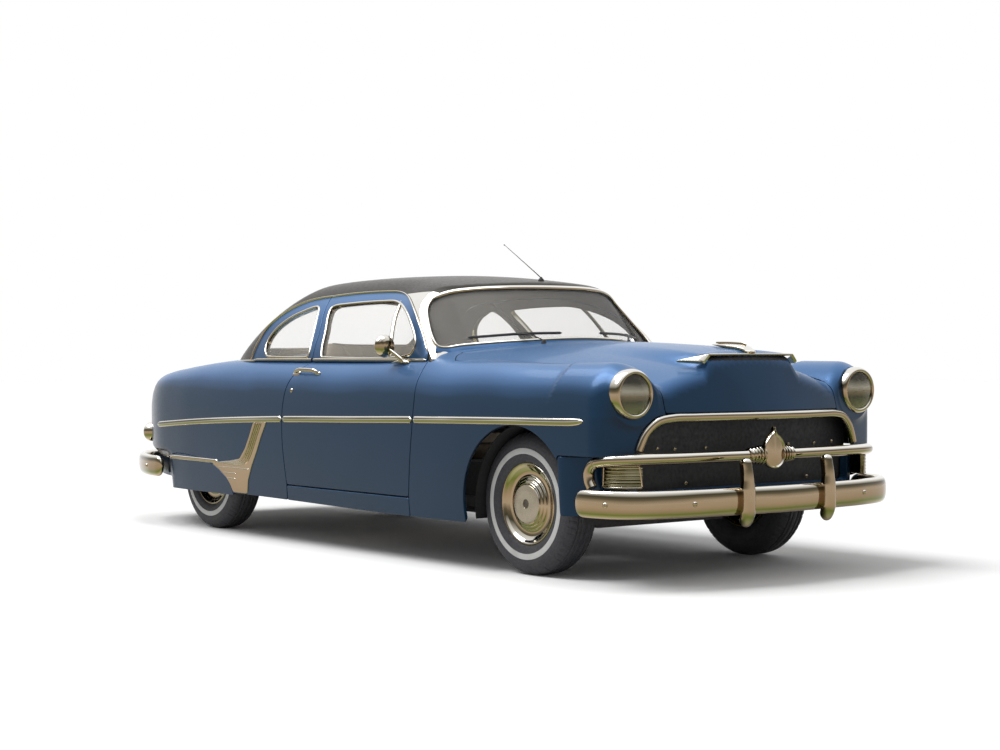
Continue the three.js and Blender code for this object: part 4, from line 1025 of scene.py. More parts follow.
def directions(path, up=(0, 0, 1), closed=False):
    """Tangents, sideways and upward directions along a path, none of them twisting."""
    path = np.asarray(path, float)
    ahead, back = np.roll(path, -1, axis=0), np.roll(path, 1, axis=0)
    if not closed:
        ahead[-1], back[0] = path[-1], path[0]
    tangent = ahead - back
    tangent /= np.linalg.norm(tangent, axis=1)[:, None]
    side = np.cross(np.broadcast_to(up, path.shape), tangent)
    side /= np.linalg.norm(side, axis=1)[:, None]
    return tangent, side, np.cross(tangent, side)


def swept(path, section, up=(0, 0, 1), closed=False, size=None):
    """section holds (sideways, upward) offsets; size scales it at each point."""
    path = np.asarray(path, float)
    _, side, rise = directions(path, up, closed)
    section = np.broadcast_to(section, (len(path),) + np.shape(section)[-2:])
    size = np.ones(len(path)) if size is None else np.asarray(size, float)
    s, r = section[..., :1] * size[:, None, None], section[..., 1:] * size[:, None, None]
    return skinned(path[:, None] + side[:, None] * s + rise[:, None] * r, closed)


def oval(width, height, count, power=2.0):
    """A closed oval; a power above 2 squares it off."""
    t = np.linspace(0, 2 * math.pi, count, endpoint=False)
    around = np.stack([np.cos(t), np.sin(t)], 1)
    return np.array([width / 2, height / 2]) * np.sign(around) * np.abs(around) ** (2 / power)


def tapered(path, first, last):
    """Sizes along a path that run out in a round nose at either end, over that length in millimetres."""
    run = np.concatenate([[0], np.cumsum(np.linalg.norm(np.diff(path, axis=0), axis=1))])
    size = np.ones(len(path))
    for length, distance in ((first, run), (last, run[-1] - run)):
        if length:
            t = np.clip(1 - distance / length, 0, 1)
            size *= np.sqrt(np.maximum(1 - t * t, 0.0004))
    return size


def turned(profile, centre, axis, segments, kinds=None, wave=None):
    """profile holds (radius, distance along the axis); wave scales the radius round the turn."""
    profile = np.array(profile, float)
    axis = np.array(axis, float) / np.linalg.norm(axis)
    u = np.cross(axis, (0, 0, 1) if abs(axis[2]) < 0.9 else (1, 0, 0))
    u /= np.linalg.norm(u)
    w = np.cross(axis, u)
    t = np.linspace(0, 2 * math.pi, segments, endpoint=False)
    around = np.cos(t)[:, None] * u + np.sin(t)[:, None] * w
    radius = np.maximum(profile[:, 0], 0.05)[None, :] * np.ones((segments, 1))
    if wave is not None:
        radius = wave(t[:, None], radius, profile[None, :, 1])
    along = axis * profile[:, 1][None, :, None]
    rings = np.array(centre, float) + around[:, None] * radius[..., None] + along
    return skinned(rings, closed=True, kinds=kinds)


def filleted(points, radius, steps=4, closed=False):
    """A broken line with its corners rolled; radius and steps may be one number or one for each point."""
    p = np.array(points, float)
    radius, steps = np.broadcast_to(radius, len(p)), np.broadcast_to(steps, len(p))
    out = []
    for i in range(len(p)):
        if not closed and i in (0, len(p) - 1):
            out.append(p[i][None])
            continue
        a, b, c = p[i - 1], p[i], p[(i + 1) % len(p)]
        la, lc = np.linalg.norm(a - b), np.linalg.norm(c - b)
        reach = min(radius[i], 0.45 * la, 0.45 * lc)
        start, end = b + (a - b) / la * reach, b + (c - b) / lc * reach
        t = np.linspace(0, 1, steps[i] + 1)[:, None]
        out.append((1 - t) ** 2 * start + 2 * t * (1 - t) * b + t * t * end)
    return np.concatenate(out)


def lathe(points, rolled, centre, axis, segments, closed=False):
    """A turned piece from a broken line whose corners are rolled."""
    return turned(filleted(points, rolled, closed=closed), centre, axis, segments)


def moulding(skin, line, half_width, height, closed=False, ends=(0, 0), ridge=0.0):
    """A domed strip standing on the skin along a line that lies on it."""
    line = np.asarray(line, float)
    rise = normals_of(skin, line)
    tangent, _, _ = directions(line, closed=closed)
    side = np.cross(rise, tangent)
    side /= np.linalg.norm(side, axis=1)[:, None]
    size = tapered(line, *ends) if any(ends) else np.ones(len(line))
    width = np.broadcast_to(half_width, len(line)) * size
    t = np.linspace(-1, 1, 11)
    dome = (1 - np.abs(t) ** 2.6) ** 0.55 + ridge * np.exp(-(t / 0.16) ** 2)
    s = np.concatenate([t, [0.96, -0.96]])
    r = np.concatenate([dome, [-0.35, -0.35]])
    rings = (line[:, None] + side[:, None] * (width[:, None] * s)[..., None]
             + rise[:, None] * (height * np.maximum(size, 0.3)[:, None] * r)[..., None])
    return skinned(rings, closed)


def beside(skin, loop, distance, closed=True):
    """A line on the skin moved sideways; positive is to the left of its run, seen from outside."""
    tangent, _, _ = directions(loop, closed=closed)
    side = np.cross(normals_of(skin, loop), tangent)
    return shaped(skin, flat(skin, loop + side / np.linalg.norm(side, axis=1)[:, None] * distance))


# %% [markdown]
# ## Bright trim on the sides
# The long strip is a rolled steel moulding that clips on in three lengths, one for each panel, so the
# door's length swings with the door. A ribbed guard plate protects the front edge of the rear fender, and
# a thin line runs on from it to the tail.

# %% Side strips
def bright(name, part, node=None, body="body"):
    return place(name, part, [chrome], body, "chrome_trim", [node] if node else ())


def bright_pair(name, part, node=None, body="body"):
    return place_pair(name, part, [chrome], body, "chrome_trim", [node] if node else ())


STRIP = spline([
    (2218, 771), (2141, 765.5), (1609, 757), (882, 742.5), (320, 728), (-365, 711), (-860, 694),
    (-1342, 671),
    (-1944, 633.5),
], 400)


def strip_between(first, last):
    x = np.linspace(first, last, 90)
    z = np.interp(-x, -STRIP[:, 0], STRIP[:, 1])
    return from_side(BODY, np.stack([x, z], 1))


for name, first, last, ends, body in (
        ("fender_strip", 2218, 902, (110, 4), "body"), ("door_strip", 892, -364, (4, 4), "{side}_door"),
        ("quarter_strip", -376, -1944, (4, 60), "body")):
    part = moulding(BODY, strip_between(first, last), 18.5, 9.0, ends=ends, ridge=0.22)
    bright_pair(name, part, body=body)

scuff_edge = [
    (-540, 690), (-601, 605), (-653, 522), (-724, 425), (-773, 341), (-793, 262), (-958, 262), (-984, 306),
    (-1026, 346), (-1103, 388), (-1194, 424), (-1100, 438), (-969, 449), (-857, 466), (-789, 528),
    (-736, 600),
    (-685, 686),
]
RAISED = skin(lambda x, a, z: lower_body(x, a, z) - 4.0, 620.0, -2400.0, 2300.0)
outline = filleted(scuff_edge, 14, 3, closed=True)
outline = from_side(RAISED, even(np.concatenate([outline, outline[:1]]), 160, True))
scuff = [panel_mesh(RAISED, [outline], 7.0, 0.5, pitch=16.0, radius=6.0, bead=7.0)]
rib_starts = [(-668, 684), (-722, 598), (-778, 522), (-842, 466), (-950, 446), (-1180, 432)]
rib_ends = [(-566, 684), (-626, 600), (-680, 517), (-748, 440), (-860, 420), (-1090, 410)]
for share in (0.12, 0.32, 0.52, 0.72):
    rib = spline(np.array(rib_starts) * (1 - share) + np.array(rib_ends) * share, 90)[:int(88 - 30 * share)]
    scuff.append(moulding(RAISED, from_side(RAISED, rib), 5.0, 5.0, ends=(14, 40)))
for z, first, last in ((408, -750, -1105), (376, -905, -1050), (344, -915, -1010)):
    rib = np.linspace((first, z), (last, z), 40)
    scuff.append(moulding(RAISED, from_side(RAISED, rib), 4.5, 5.0, ends=(20, 14)))
bright_pair("scuff_plate", merged(*scuff))
low_line = from_side(BODY, spline([(-1120, 437), (-1500, 439), (-1925, 438)], 60))
bright_pair("low_bright_line", moulding(BODY, low_line, 12.5, 7.0, ends=(6, 60)))

# %% [markdown]
# ## Window mouldings and drip rail
# Each window has a thin bright moulding over the joint of glass and frame. Above them runs the drip rail,
# the gutter that keeps rain out of the open window, and below them the belt moulding covers the corner
# where cabin and body meet.

# %% Window mouldings
def cabin_base(angles):
    """The line where the cabin meets the body, found by walking between the two forms."""
    centre = np.where(np.cos(angles) > 0, 580.0, -880.0)
    outwards = np.stack([np.cos(angles), np.sin(angles), np.zeros(len(angles))], 1)
    z = np.full(len(angles), 1045.0)
    for _ in range(10):
        origin = np.stack([centre, np.zeros(len(angles)), z], 1)
        p = cast(CABIN, origin, outwards, far=1200.0)
        z = body_top(p[:, 0], np.abs(p[:, 1])) - 3
    return p


belt_side = from_side(CABIN, np.linspace((846, 1049), (-248, 1049), 60))
bright_pair("door_belt_moulding", moulding(CABIN, belt_side, 7.0, 7.0, ends=(4, 4)), body="{side}_door")
rear_belt = np.concatenate([
    from_side(CABIN, np.linspace((-256, 1049), (-860, 1047), 40)),
    cabin_base(np.linspace(math.pi / 2 + 0.02, math.pi, 60)),
])
rear_belt = np.concatenate([rear_belt, (rear_belt * [1, -1, 1])[::-1][1:]])
bright("rear_belt_moulding", moulding(CABIN, even(rear_belt, 320), 7.0, 7.0))
for name, loop, body in (("door_window_moulding", DOOR_WINDOW, "{side}_door"),
                         ("quarter_window_moulding", QUARTER_WINDOW, "body")):
    edge = from_side(CABIN, loop)
    bright_pair(name, moulding(CABIN, edge, 7.5, 5.5, closed=True), body=body)
vent = from_side(PANE, np.linspace((492, 1066), (346, 1364), 30))
bright_pair("vent_bar", moulding(PANE, vent, 13.0, 11.0), body="{side}_door")
screen_line = beside(CABIN, screen_edge, -5.0)
at_foot = (screen_edge[:, 2] < 1172) & (np.abs(screen_edge[:, 1]) < 756)
screen_low = beside(CABIN, screen_edge, -34.0)[at_foot]
screen_low = screen_low[np.argsort(screen_low[:, 1])]
place("windshield_foot", moulding(CABIN, even(screen_low, 90), 27.0, 3.0), [blue_paint], "body",
    "body_paint")
screen_width = np.where(screen_edge[:, 2] > 1380, 13.0, 8.5)
bright("windshield_moulding", moulding(CABIN, screen_line, screen_width, 7.0, closed=True))
bright("rear_window_moulding", moulding(CABIN, beside(CABIN, backlight_edge, 5.0), 10.0, 7.0, closed=True))
rail_line = np.concatenate([from_side(CABIN, rear_rail), from_side(CABIN, roof_rail[3:])])
rail_line = beside(CABIN, even(rail_line, 160), 5.0, closed=False)
bright_pair("drip_rail", moulding(CABIN, rail_line, 5.0, 11.0, ends=(30, 12)))

# %% [markdown]
# ## Scoop, ornament and pillar covers
# A bright lip frames the air scoop, with a small wing at each end that runs back over the shoulder of the
# raised part. The ornament behind it is a plain streamlined body, and the windshield pillars have polished
# covers between the glass and the door frames.

# %% Scoop and pillar trim
LIP_Y = 283.0


def lip_point(y):
    return np.stack([2367 - 6 * (y / LIP_Y) ** 2, y, 1079 - 2 * (y / LIP_Y) ** 2], 1)


visor_y = np.linspace(-LIP_Y, LIP_Y, 60)
visor_back = from_above(BODY, np.stack([np.full(60, 2262.0), visor_y], 1))
visor_front = lip_point(visor_y) - [3, 0, 1]
visor_rows = []
for t in np.linspace(0, 1, 9):
    row = visor_back * (1 - t) + visor_front * t
    row[:, 2] += 8 * math.sin(math.pi * t) * (1 - 0.3 * t) - 1.5 * (1 - t)
    visor_rows.append(row)
visor_under = [row - [0, 0, 5 + 9 * (1 - k / 8)] for k, row in enumerate(visor_rows)]
visor = skinned(np.stack(visor_rows + visor_under[::-1], 1))
place("scoop_visor", visor, [blue_paint], "hood", "body_paint")
throat_rows = []
for z in np.linspace(1046, 1072, 6):
    row = from_front(HOOD, np.stack([np.linspace(-276, 276, 60), np.full(60, z)], 1))
    throat_rows.append(row + [2.5 - 4 * abs(z - 1059) / 13, 0, 0])
throat = skinned(np.stack(throat_rows + [row - [12, 0, 0] for row in throat_rows[::-1]], 1))
place("scoop_throat", throat, [black_metal], "hood", "black_metal")
lip = swept(lip_point(np.linspace(-LIP_Y - 3, LIP_Y + 3, 60)), oval(15, 10, 20, 2.6))


def wing():
    """A thin triangle from the end of the lip back along the shoulder of the raised part."""
    corner, foot, tip = np.array([(2366.0, 286, 1079), (2362, 322, 1040), (2226, 376, 1046)])
    edge = filleted([corner, foot, tip], [5, 8, 10], 4, closed=True)
    middle = edge.mean(0)
    out = np.cross(foot - corner, tip - corner)
    out *= math.copysign(1, out[1]) / np.linalg.norm(out)
    levels = ((1.0, -12), (1.0, 2), (0.9, 5), (0.3, 8))
    return skinned(np.stack([middle + (edge - middle) * share + out * height for share, height in levels]))


bright("scoop_lip", merged(lip, wing(), flipped(wing())), body="hood")

jet_x = np.linspace(2384, 2092, 40)
jet_t = (2384 - jet_x) / 292
jet_size = np.sin(math.pi * np.clip(jet_t, 0.004, 0.996) ** 0.62) ** 0.8
jet_base = from_above(BODY, np.stack([np.minimum(jet_x, 2350), np.zeros(40)], 1))
jet_path = np.stack([jet_x, np.zeros(40), jet_base[:, 2] + 9], 1)
jet = swept(jet_path, oval(84, 30, 28, 2.3), size=np.maximum(jet_size, 0.03))
fin = swept(jet_path[8:-4] + [0, 0, 12], oval(7, 26, 14), size=np.maximum(jet_size[8:-4], 0.05))
bright("hood_ornament", merged(jet, fin), body="hood")

COVER = cabin_skin(2.0)
screen_side = screen_edge[(screen_edge[:, 1] > 590) & (screen_edge[:, 2] < 1408)
                          & ((screen_edge[:, 2] > 1140) | (screen_edge[:, 1] > 757))]
rail_side = from_side(CABIN, roof_rail)
cover_foot = fan(CABIN, (580, 0, 1052), (866, 786, 1052), (985, 760, 1052), 12)
cover_loop = joined(screen_side, rail_side[rail_side[:, 0] > 330], cover_foot)
bright_pair("pillar_cover", panel_mesh(COVER, [cover_loop], 4.0, 1.0, pitch=18.0, radius=4.0, bead=7.0))

# %% [markdown]
# ## Bumpers
# A bumper of this age is one heavy pressing with a full round face, plated and bolted to the frame. The two
# guards are separate castings over it: narrow posts above that swell out where they grip the bar.

# %% Bumpers
def mirrored_path(half, count):
    """A path from right to left through a half path that starts at the middle."""
    half = np.array(half, float)
    whole = np.concatenate([half[::-1], (half * ([1, -1] if half.shape[1] == 2 else [1, -1, 1]))[1:]])
    return spline(whole, count)


def bolt(point, towards):
    """A carriage bolt: its dome as shares of the radius and heights, over a washer."""
    r = 13.0
    dome = [(0, 9), (r * 0.6, 7.5), (r * 0.95, 3), (r, 0), (r * 1.25, 0), (r * 1.25, -4), (0, -4)]
    return lathe(dome, 2, point, towards, 28)


FRONT_BUMPER = [(2592, 0), (2570, 350), (2542, 600), (2482, 800), (2395, 905), (2285, 946), (2160, 950)]
REAR_BUMPER = [(-2618, 0), (-2608, 400), (-2570, 600), (-2480, 725), (-2330, 815), (-2140, 895),
    (-1980, 938), (-1820, 948)]
bumper_section = oval(52, 130, 36, 2.35)


def bumper(half, z):
    plan = mirrored_path(half, 180)
    path = np.c_[plan, np.full(len(plan), z)]
    return path, swept(path, bumper_section, size=tapered(path, 62, 62))


def guard(nose, z_drop=0.0):
    """The guard on the left; nose is where the bumper's face is, and its sign says front or rear."""
    front = math.copysign(1, nose)
    line = np.array([(-70, 282), (-50, 305), (-38, 335), (-34, 385), (-35, 430), (-38, 475), (-42, 520),
        (-50, 565), (-58, 596)], float)
    line = spline(line, 60)
    path = np.stack([nose + front * line[:, 0], np.full(60, 277.0), line[:, 1] - z_drop], 1)
    wide = np.interp(line[:, 1], [282, 310, 345, 450, 490, 540, 600], [46, 66, 78, 76, 62, 54, 50])
    section = oval(1, 1, 32, 2.3)[None] * np.stack([wide, np.full(60, 60.0)], 1)[:, None, :]
    return swept(path, section, up=(front, 0, 0), size=tapered(path, 26, 30))


def face_of(path, y, front):
    """The outermost point of a bumper at that distance from the middle."""
    i = np.argmin(np.abs(path[:, 1] - y))
    tangent, side, _ = directions(path)
    out = side[i] * math.copysign(1, side[i][0] * front)
    return path[i] + out * 25.0, out


front_path, front_bar = bumper(FRONT_BUMPER, 394.0)
rear_path, rear_bar = bumper(REAR_BUMPER, 375.0)
bolts = [bolt(*face_of(front_path, y, 1)) for y in (-928, -582, 582, 928)]
post = guard(2645.0)
bright("front_bumper_bar", merged(front_bar, post, flipped(post), *bolts), "front_bumper")
bolts = [bolt(*face_of(rear_path, y, -1)) for y in (-560, 560)]
bolts += [bolt((-2010, s * 957, 372), (0, s, 0)) for s in (-1, 1)]
post = guard(-2645.0, 12.0)
bright("rear_bumper_bar", merged(rear_bar, post, flipped(post), *bolts), "rear_bumper")

# %% [markdown]
# ## Grille
# The grille is a dark opening framed by a bright arch. One thick tube crosses it and turns down at both
# ends round the parking lamps, finned sleeves hold a blank shield at its middle, and small screws fasten
# the dark panel behind.

# %% Grille
GRILLE_BAR = [
    (2484, 0, 598), (2476, 300, 598), (2457, 600, 598), (2424, 750, 598), (2360, 850, 594),
    (2278, 892, 586),
    (2226, 900, 570), (2202, 902, 536), (2204, 902, 495), (2222, 900, 462),
]
bar_path = mirrored_path(GRILLE_BAR, 260)
bar = swept(bar_path, oval(54, 54, 28), up=(1, 0, 0.3))
sleeve = [(20, 0)]
for k in range(5):
    start = 56 + 20 * k
    sleeve += [(31, start), (46 - 2.4 * k, start + 4), (46 - 2.4 * k, start + 9), (31, start + 15)]
sleeve = filleted(sleeve[1:] + [(20, 154), (20, 56)], 2.5, closed=True)
fins = turned(sleeve, (2484, 0, 598), (0, 1, 0), 48)
bright("grille_bar_tube", merged(bar, fins, flipped(fins)), "grille_bar")

arch_yz = spline([(0, 783), (430, 783), (560, 781), (635, 766), (697, 716), (729, 655), (737, 632)], 90)
arch_half = np.stack([nose_x(np.abs(arch_yz[:, 0]), arch_yz[:, 1]) + 4, arch_yz[:, 0], arch_yz[:, 1]], 1)
arch = swept(np.concatenate([(arch_half * [1, -1, 1])[::-1], arch_half[1:]]), oval(40, 34, 24, 2.3),
    up=(1, 0, 0))
bright("grille_frame", arch, "grille_surround")

shield_outline = spline([
    (0, 732), (5, 718), (13, 704), (36, 688), (60, 660), (72, 625), (71, 590), (56, 556), (32, 538),
    (0, 532),
    (-32, 538), (-56, 556), (-71, 590), (-72, 625), (-60, 660), (-36, 688), (-13, 704), (-5, 718),
], 120, closed=True)


def shield_ring(scale, x):
    middle = np.array([0.0, 600.0])
    yz = middle + (shield_outline - middle) * scale
    return np.stack([np.full(len(yz), x), yz[:, 0], yz[:, 1]], 1)


shield = skinned(np.stack([shield_ring(s, x) for s, x in (
    (0.94, 2494), (1.0, 2500), (1.0, 2516), (0.97, 2522), (0.92, 2523), (0.87, 2519), (0.84, 2517),
    (0.5, 2521), (0.15, 2523))]))
bright("blank_shield", shield)
screws = [lathe([(0, 5), (7, 4), (9, 0), (9, -3), (0, -3)], 2, (2340, y, z), (1, 0, 0), 20)
          for y, z in ((-489, 634), (-285, 634), (285, 634), (470, 634), (-416, 471), (416, 471),
          (-600, 640), (600, 640))]
bright("grille_screws", merged(*screws))

# %% [markdown]
# ## Lamps
# A sealed headlamp is a ribbed glass dome in a deep polished ring, over a bright bowl. The parking lamps
# are ribbed clear lenses inside the turned-down ends of the grille tube, and the tail lamps are red domes
# in bright housings on the rear corners.

# %% Lamps
# The lamp bowl's facing tones are painted reflections: light and dark warm bands by how far each face looks
# up or down.
reflector_metal = finish("lamp_bowl", tone(206, 202, 186), tone(150, 146, 112), (0.08, 0.2), 1.0, drift=9.0,
    bump=0.2,
                         bump_scale=60.0, facing=[
                             (-0.9, tone(236, 228, 206)), (-0.4, tone(120, 112, 84)),
                             (0.0, tone(190, 184, 160)),
                             (0.35, tone(96, 94, 66)), (0.8, tone(250, 250, 246))])
# The lens's facing tones are painted reflection and shade: olive, brown and light bands by how far each
# face looks up or down, darker towards the top as painted shade.
clear_lens = finish("clear_lens", tone(232, 230, 220), tone(200, 196, 176), (0.03, 0.08), 0.3, bump=0.05,
    bump_scale=200.0,
                    Alpha=0.55, facing=[
                        (-0.35, tone(128, 130, 78)), (-0.14, tone(84, 86, 52)),
                        (-0.02, tone(150, 134, 104)),
                        (0.1, tone(216, 212, 200)), (0.28, tone(76, 72, 60)), (0.45, tone(60, 58, 48))])
red_lens = finish("red_lens", tone(150, 16, 14), tone(128, 10, 10), (0.08, 0.15), bump=0.05,
    bump_scale=200.0,
                  Transmission_Weight=0.35, IOR=1.45, Coat_Weight=0.5)

lamp_ring = filleted([(99, -70), (112, -64), (118, -54), (119, -24), (116, -6), (109, 4), (100, 7), (94, 3),
    (91, -6), (91, -70)], 5)
bezel = turned(lamp_ring, LAMP, (1, 0, 0), 96)
bowl = lathe([(92, -4), (88, -16), (70, -42), (40, -60), (14, -66), (0, -66), (0, -74), (60, -62),
    (96, -20), (96, -6)], 6, LAMP, (1, 0, 0), 64)
bulb = lathe([(0, -10), (10, -14), (14, -24), (11, -40), (8, -62), (0, -62)], 4, LAMP, (1, 0, 0), 24)
bright_pair("headlamp_ring", bezel, "{side}_headlamp")
place_pair("headlamp_bowl", merged(bowl, bulb), [reflector_metal], "body", "chrome_trim")


def ribbed_dome():
    """The lens, with upright flutes in its glass and a clear border."""
    r = np.concatenate([np.linspace(94, 78, 5), np.linspace(74, 0.5, 22)])
    t = np.linspace(0, 2 * math.pi, 120, endpoint=False)
    radius, turn = np.meshgrid(r, t, indexing="ij")
    y, z = radius * np.cos(turn), radius * np.sin(turn)
    x = -2 + 22 * (1 - (radius / 94) ** 2)
    flute = (1.8 * np.cos(y / 10.5 * 2 * math.pi) + 0.7 * (np.mod(np.abs(z), 26) < 2.5)) * (radius < 77)
    outer = np.stack([LAMP[0] + x, LAMP[1] + y, LAMP[2] + z], -1)
    inner = outer - [5.0, 0, 0] + flute[..., None] * [1.0, 0, 0]
    return skinned(np.concatenate([inner[::-1], outer]))


place_pair("headlamp_lens", ribbed_dome(), [clear_lens], "body", "chrome_trim")

lens_plan = spline([(2412, 762), (2372, 822), (2310, 852), (2246, 858)], 50)
lens_z = np.linspace(468, 566, 72)
rib = 3.0 * np.abs(np.sin((lens_z - 468) / 98 * math.pi * 6))
_, lens_side, _ = directions(np.c_[lens_plan, np.full(50, 500.0)])
rings = []
for (x, y), out in zip(lens_plan, lens_side):
    out = out * math.copysign(1, out[1])
    front = np.stack([x + out[0] * rib, y + out[1] * rib, lens_z], 1)
    back = np.stack([np.full(72, x - out[0] * 16), np.full(72, y - out[1] * 16), lens_z], 1)[::-1]
    rings.append(np.concatenate([front, back]))
parking = skinned(np.array(rings))
frame_line = np.concatenate([np.c_[lens_plan, np.full(50, 467.0)],
    np.c_[lens_plan, np.full(50, 567.0)][::-1]])
parking_frame = swept(filleted(frame_line[::4], 6, closed=True), oval(9, 9, 12), closed=True)
place_pair("parking_lamp_lens", parking, [reflector_metal], "body", "chrome_trim", ["{side}_parking_lamp"])
bright_pair("parking_lamp_frame", parking_frame)

TAIL_LAMP = (-2388, 698, 568)
housing = lathe([(0, -52), (48, -40), (62, -8), (65, 20), (62, 42), (54, 50), (46, 46), (46, 30), (0, 30)],
    8, TAIL_LAMP, (-1, 0.25, 0), 64)
lens = lathe([(0, 66), (22, 63), (38, 55), (47, 42), (47, 28), (0, 28)], 8, TAIL_LAMP, (-1, 0.25, 0), 64)
bright_pair("tail_lamp_housing", housing, "{side}_tail_lamp")
place_pair("tail_lamp_lens", lens, [red_lens], "body", "red_lens")

# %% [markdown]
# ## Wheels and tyres
# A bias-ply tyre has a round shoulder, ribs with zigzag grooves in the tread and a thin white band moulded
# into its side. The tyre is turned from one profile, with the white band as its own finish, and blocks are
# pressed into the shoulders. The polished cap is stepped like a set of rings, with a flat middle.

# %% Wheels and tyres
tyre_rubber = finish("tyre_rubber", tone(33, 33, 37), tone(42, 42, 45), (0.55, 0.8), drift=14.0, grain=90.0,
    bump=0.35, bump_scale=500.0)
white_rubber = finish("white_band", tone(176, 176, 174), tone(164, 163, 160), (0.5, 0.65), drift=16.0,
    bump=0.15, bump_scale=500.0)
cap_centre = finish("cap_centre_metal", tone(150, 140, 122), tone(138, 129, 112), (0.18, 0.3), 1.0,
    drift=12.0, bump=0.1, bump_scale=300.0)
cap_spot = finish("cap_spot", tone(88, 80, 66), tone(70, 64, 54), (0.3, 0.5), 0.6, drift=30.0, bump=0.3,
    bump_scale=700.0)

side_profile_points = [(197, 70), (206, 80), (216, 88), (232, 94), (243, 97), (244, 98.5), (272, 98.5),
    (273, 97), (290, 98), (310, 93), (326, 84), (337, 74), (344, 62)]
tread = [(348, 52), (348, 46), (341, 45), (341, 39), (349.5, 38), (350, 21), (343, 20), (343, 14),
    (350, 13)]
half_tyre = side_profile_points + tread
tyre_points = half_tyre + [(r, -y) for r, y in half_tyre[::-1]] + [(198, -60), (198, 60)]
at_band = [2 if 243 <= r <= 273 else 1 for r, _ in tyre_points]
tyre_profile = filleted(tyre_points, 2.5, at_band, closed=True)
band = (tyre_profile[:, 0] > 243.6) & (tyre_profile[:, 0] < 272.4) & (tyre_profile[:, 1] > 0)


def treaded(turn, radius, along):
    """Blocks on the shoulders, and grooves that weave a little."""
    outer = np.abs(along) > 30
    block = (np.mod(turn * 66 / (2 * math.pi), 1) < 0.18) * (np.abs(along) > 50) * (radius > 326)
    weave = (np.mod(turn * 132 / (2 * math.pi) + outer * 0.5,
        1) < 0.12) * (np.abs(along) < 46) * (radius > 347)
    return radius - 4.5 * block - 2.5 * weave


CAP = filleted([
    (0, 86), (20, 86), (22, 92), (27, 92.5), (60, 92.5), (92, 91), (98, 85), (101, 79), (113, 76),
    (116, 70), (129, 67), (132, 61),
    (143, 57), (160, 59), (180, 69), (191, 79), (198, 82), (203, 77), (201, 62), (189, 52), (189, -68),
    (199, -76),
    (190, -80), (180, -60), (176, 20), (60, 30), (0, 32)], 2.2, 2)
cap_kinds = np.where(CAP[:, 0] < 21, 2, np.where((CAP[:, 0] < 96) & (CAP[:, 1] > 80), 1, 0))
for end, x, y in (("front", FRONT_AXLE, FRONT_WHEEL_Y), ("rear", REAR_AXLE, REAR_WHEEL_Y)):
    tyre = turned(tyre_profile, (x, y, TYRE_RADIUS), (0, 1, 0), 264, kinds=band.astype(int), wave=treaded)
    place_pair(f"{end}_tyre_casing", tyre, [tyre_rubber, white_rubber], "{side}_" + end + "_road_wheel",
        "tyre_rubber",
               ["{side}_" + end + "_tyre"])
    cap = turned(CAP, (x, y, TYRE_RADIUS), (0, 1, 0), 120, kinds=cap_kinds)
    place_pair(f"{end}_wheel_cap", cap, [chrome, cap_centre, cap_spot], "{side}_" + end + "_road_wheel",
        "chrome_trim",
               ["{side}_" + end + "_wheel"])

# %% [markdown]
# ## Wheel housings and the dark parts
# Behind the fender's opening sits a pressed housing that keeps stones out of the engine bay. It is
# sprayed with the same black coating as the floor, the frame and the axles, whose plain solids already
# have the right shape and only get their finishes here.

# %% Housings and chassis finishes
chassis_steel = finish("chassis_steel", tone(46, 46, 48), tone(62, 58, 54), (0.4, 0.65), 0.6, drift=9.0,
    bump=0.25, bump_scale=220.0)
dark_plastic = finish("dark_plastic", tone(24, 24, 26), tone(32, 32, 33), (0.35, 0.5), drift=7.0, bump=0.2,
    bump_scale=800.0)
engine_enamel = finish("engine_enamel", tone(40, 62, 52), tone(52, 72, 60), (0.35, 0.6), 0.2, drift=5.0,
    bump=0.3, bump_scale=120.0)
fuel_tank_zinc = finish("zinc_plate", tone(96, 98, 98), tone(116, 116, 112), (0.35, 0.6), 0.8, drift=5.0,
    bump=0.2, bump_scale=90.0)


def housing_shell(first, last, centre, rx, rz, y_in, y_out):
    """Half a barrel over a wheel with a closed inner end."""
    turn = np.linspace(first, last, 60)
    line = np.stack([centre[0] + rx * np.cos(turn), centre[1] + rz * np.sin(turn)], 1)
    inner = np.array([centre[0], centre[1] + 60]) + (line - [centre[0], centre[1] + 60]) * 0.03
    rows = [(line, y_out), (line, y_in + 30), (centre + (line - centre) * 0.96, y_in + 8),
            (centre + (line - centre) * 0.9, y_in), (inner, y_in)]
    back = [(centre + (xz - centre) * 1.008 + [0, 2.0], y - 4 * (y < y_out)) for xz, y in rows[::-1]]
    ring = np.stack([np.stack([xz[:, 0], np.full(60, y), xz[:, 1]], 1) for xz, y in rows + back], 1)
    return skinned(ring)


front_housing = housing_shell(-0.12, math.pi + 0.18, np.array([1708.0, 330.0]), 409, 411, 462, 868)
place_pair("front_wheel_housing", front_housing, [black_metal], "body", "black_metal")
rear_housing = housing_shell(-0.05, math.pi + 0.05, np.array([-1490.0, 350.0]), 395, 395, 560, 868)
place_pair("rear_wheel_housing", rear_housing, [black_metal], "body", "black_metal")

carried = {
    chassis_steel: ["front_suspension", "rear_axle", "exhaust", "right_steering_knuckle",
    "left_steering_knuckle"],
    black_metal: ["floor_pan", "trunk_floor", "front_frame", "grille_backing"],
    dark_plastic: ["steering_column"],
    engine_enamel: ["engine"],
    fuel_tank_zinc: ["fuel_tank"],
}
for material, names in carried.items():
    for name in names:
        nodes[name].data.materials.clear()
        nodes[name].data.materials.append(material)
print("carried over:", sum(len(names) for names in carried.values()), "nodes")

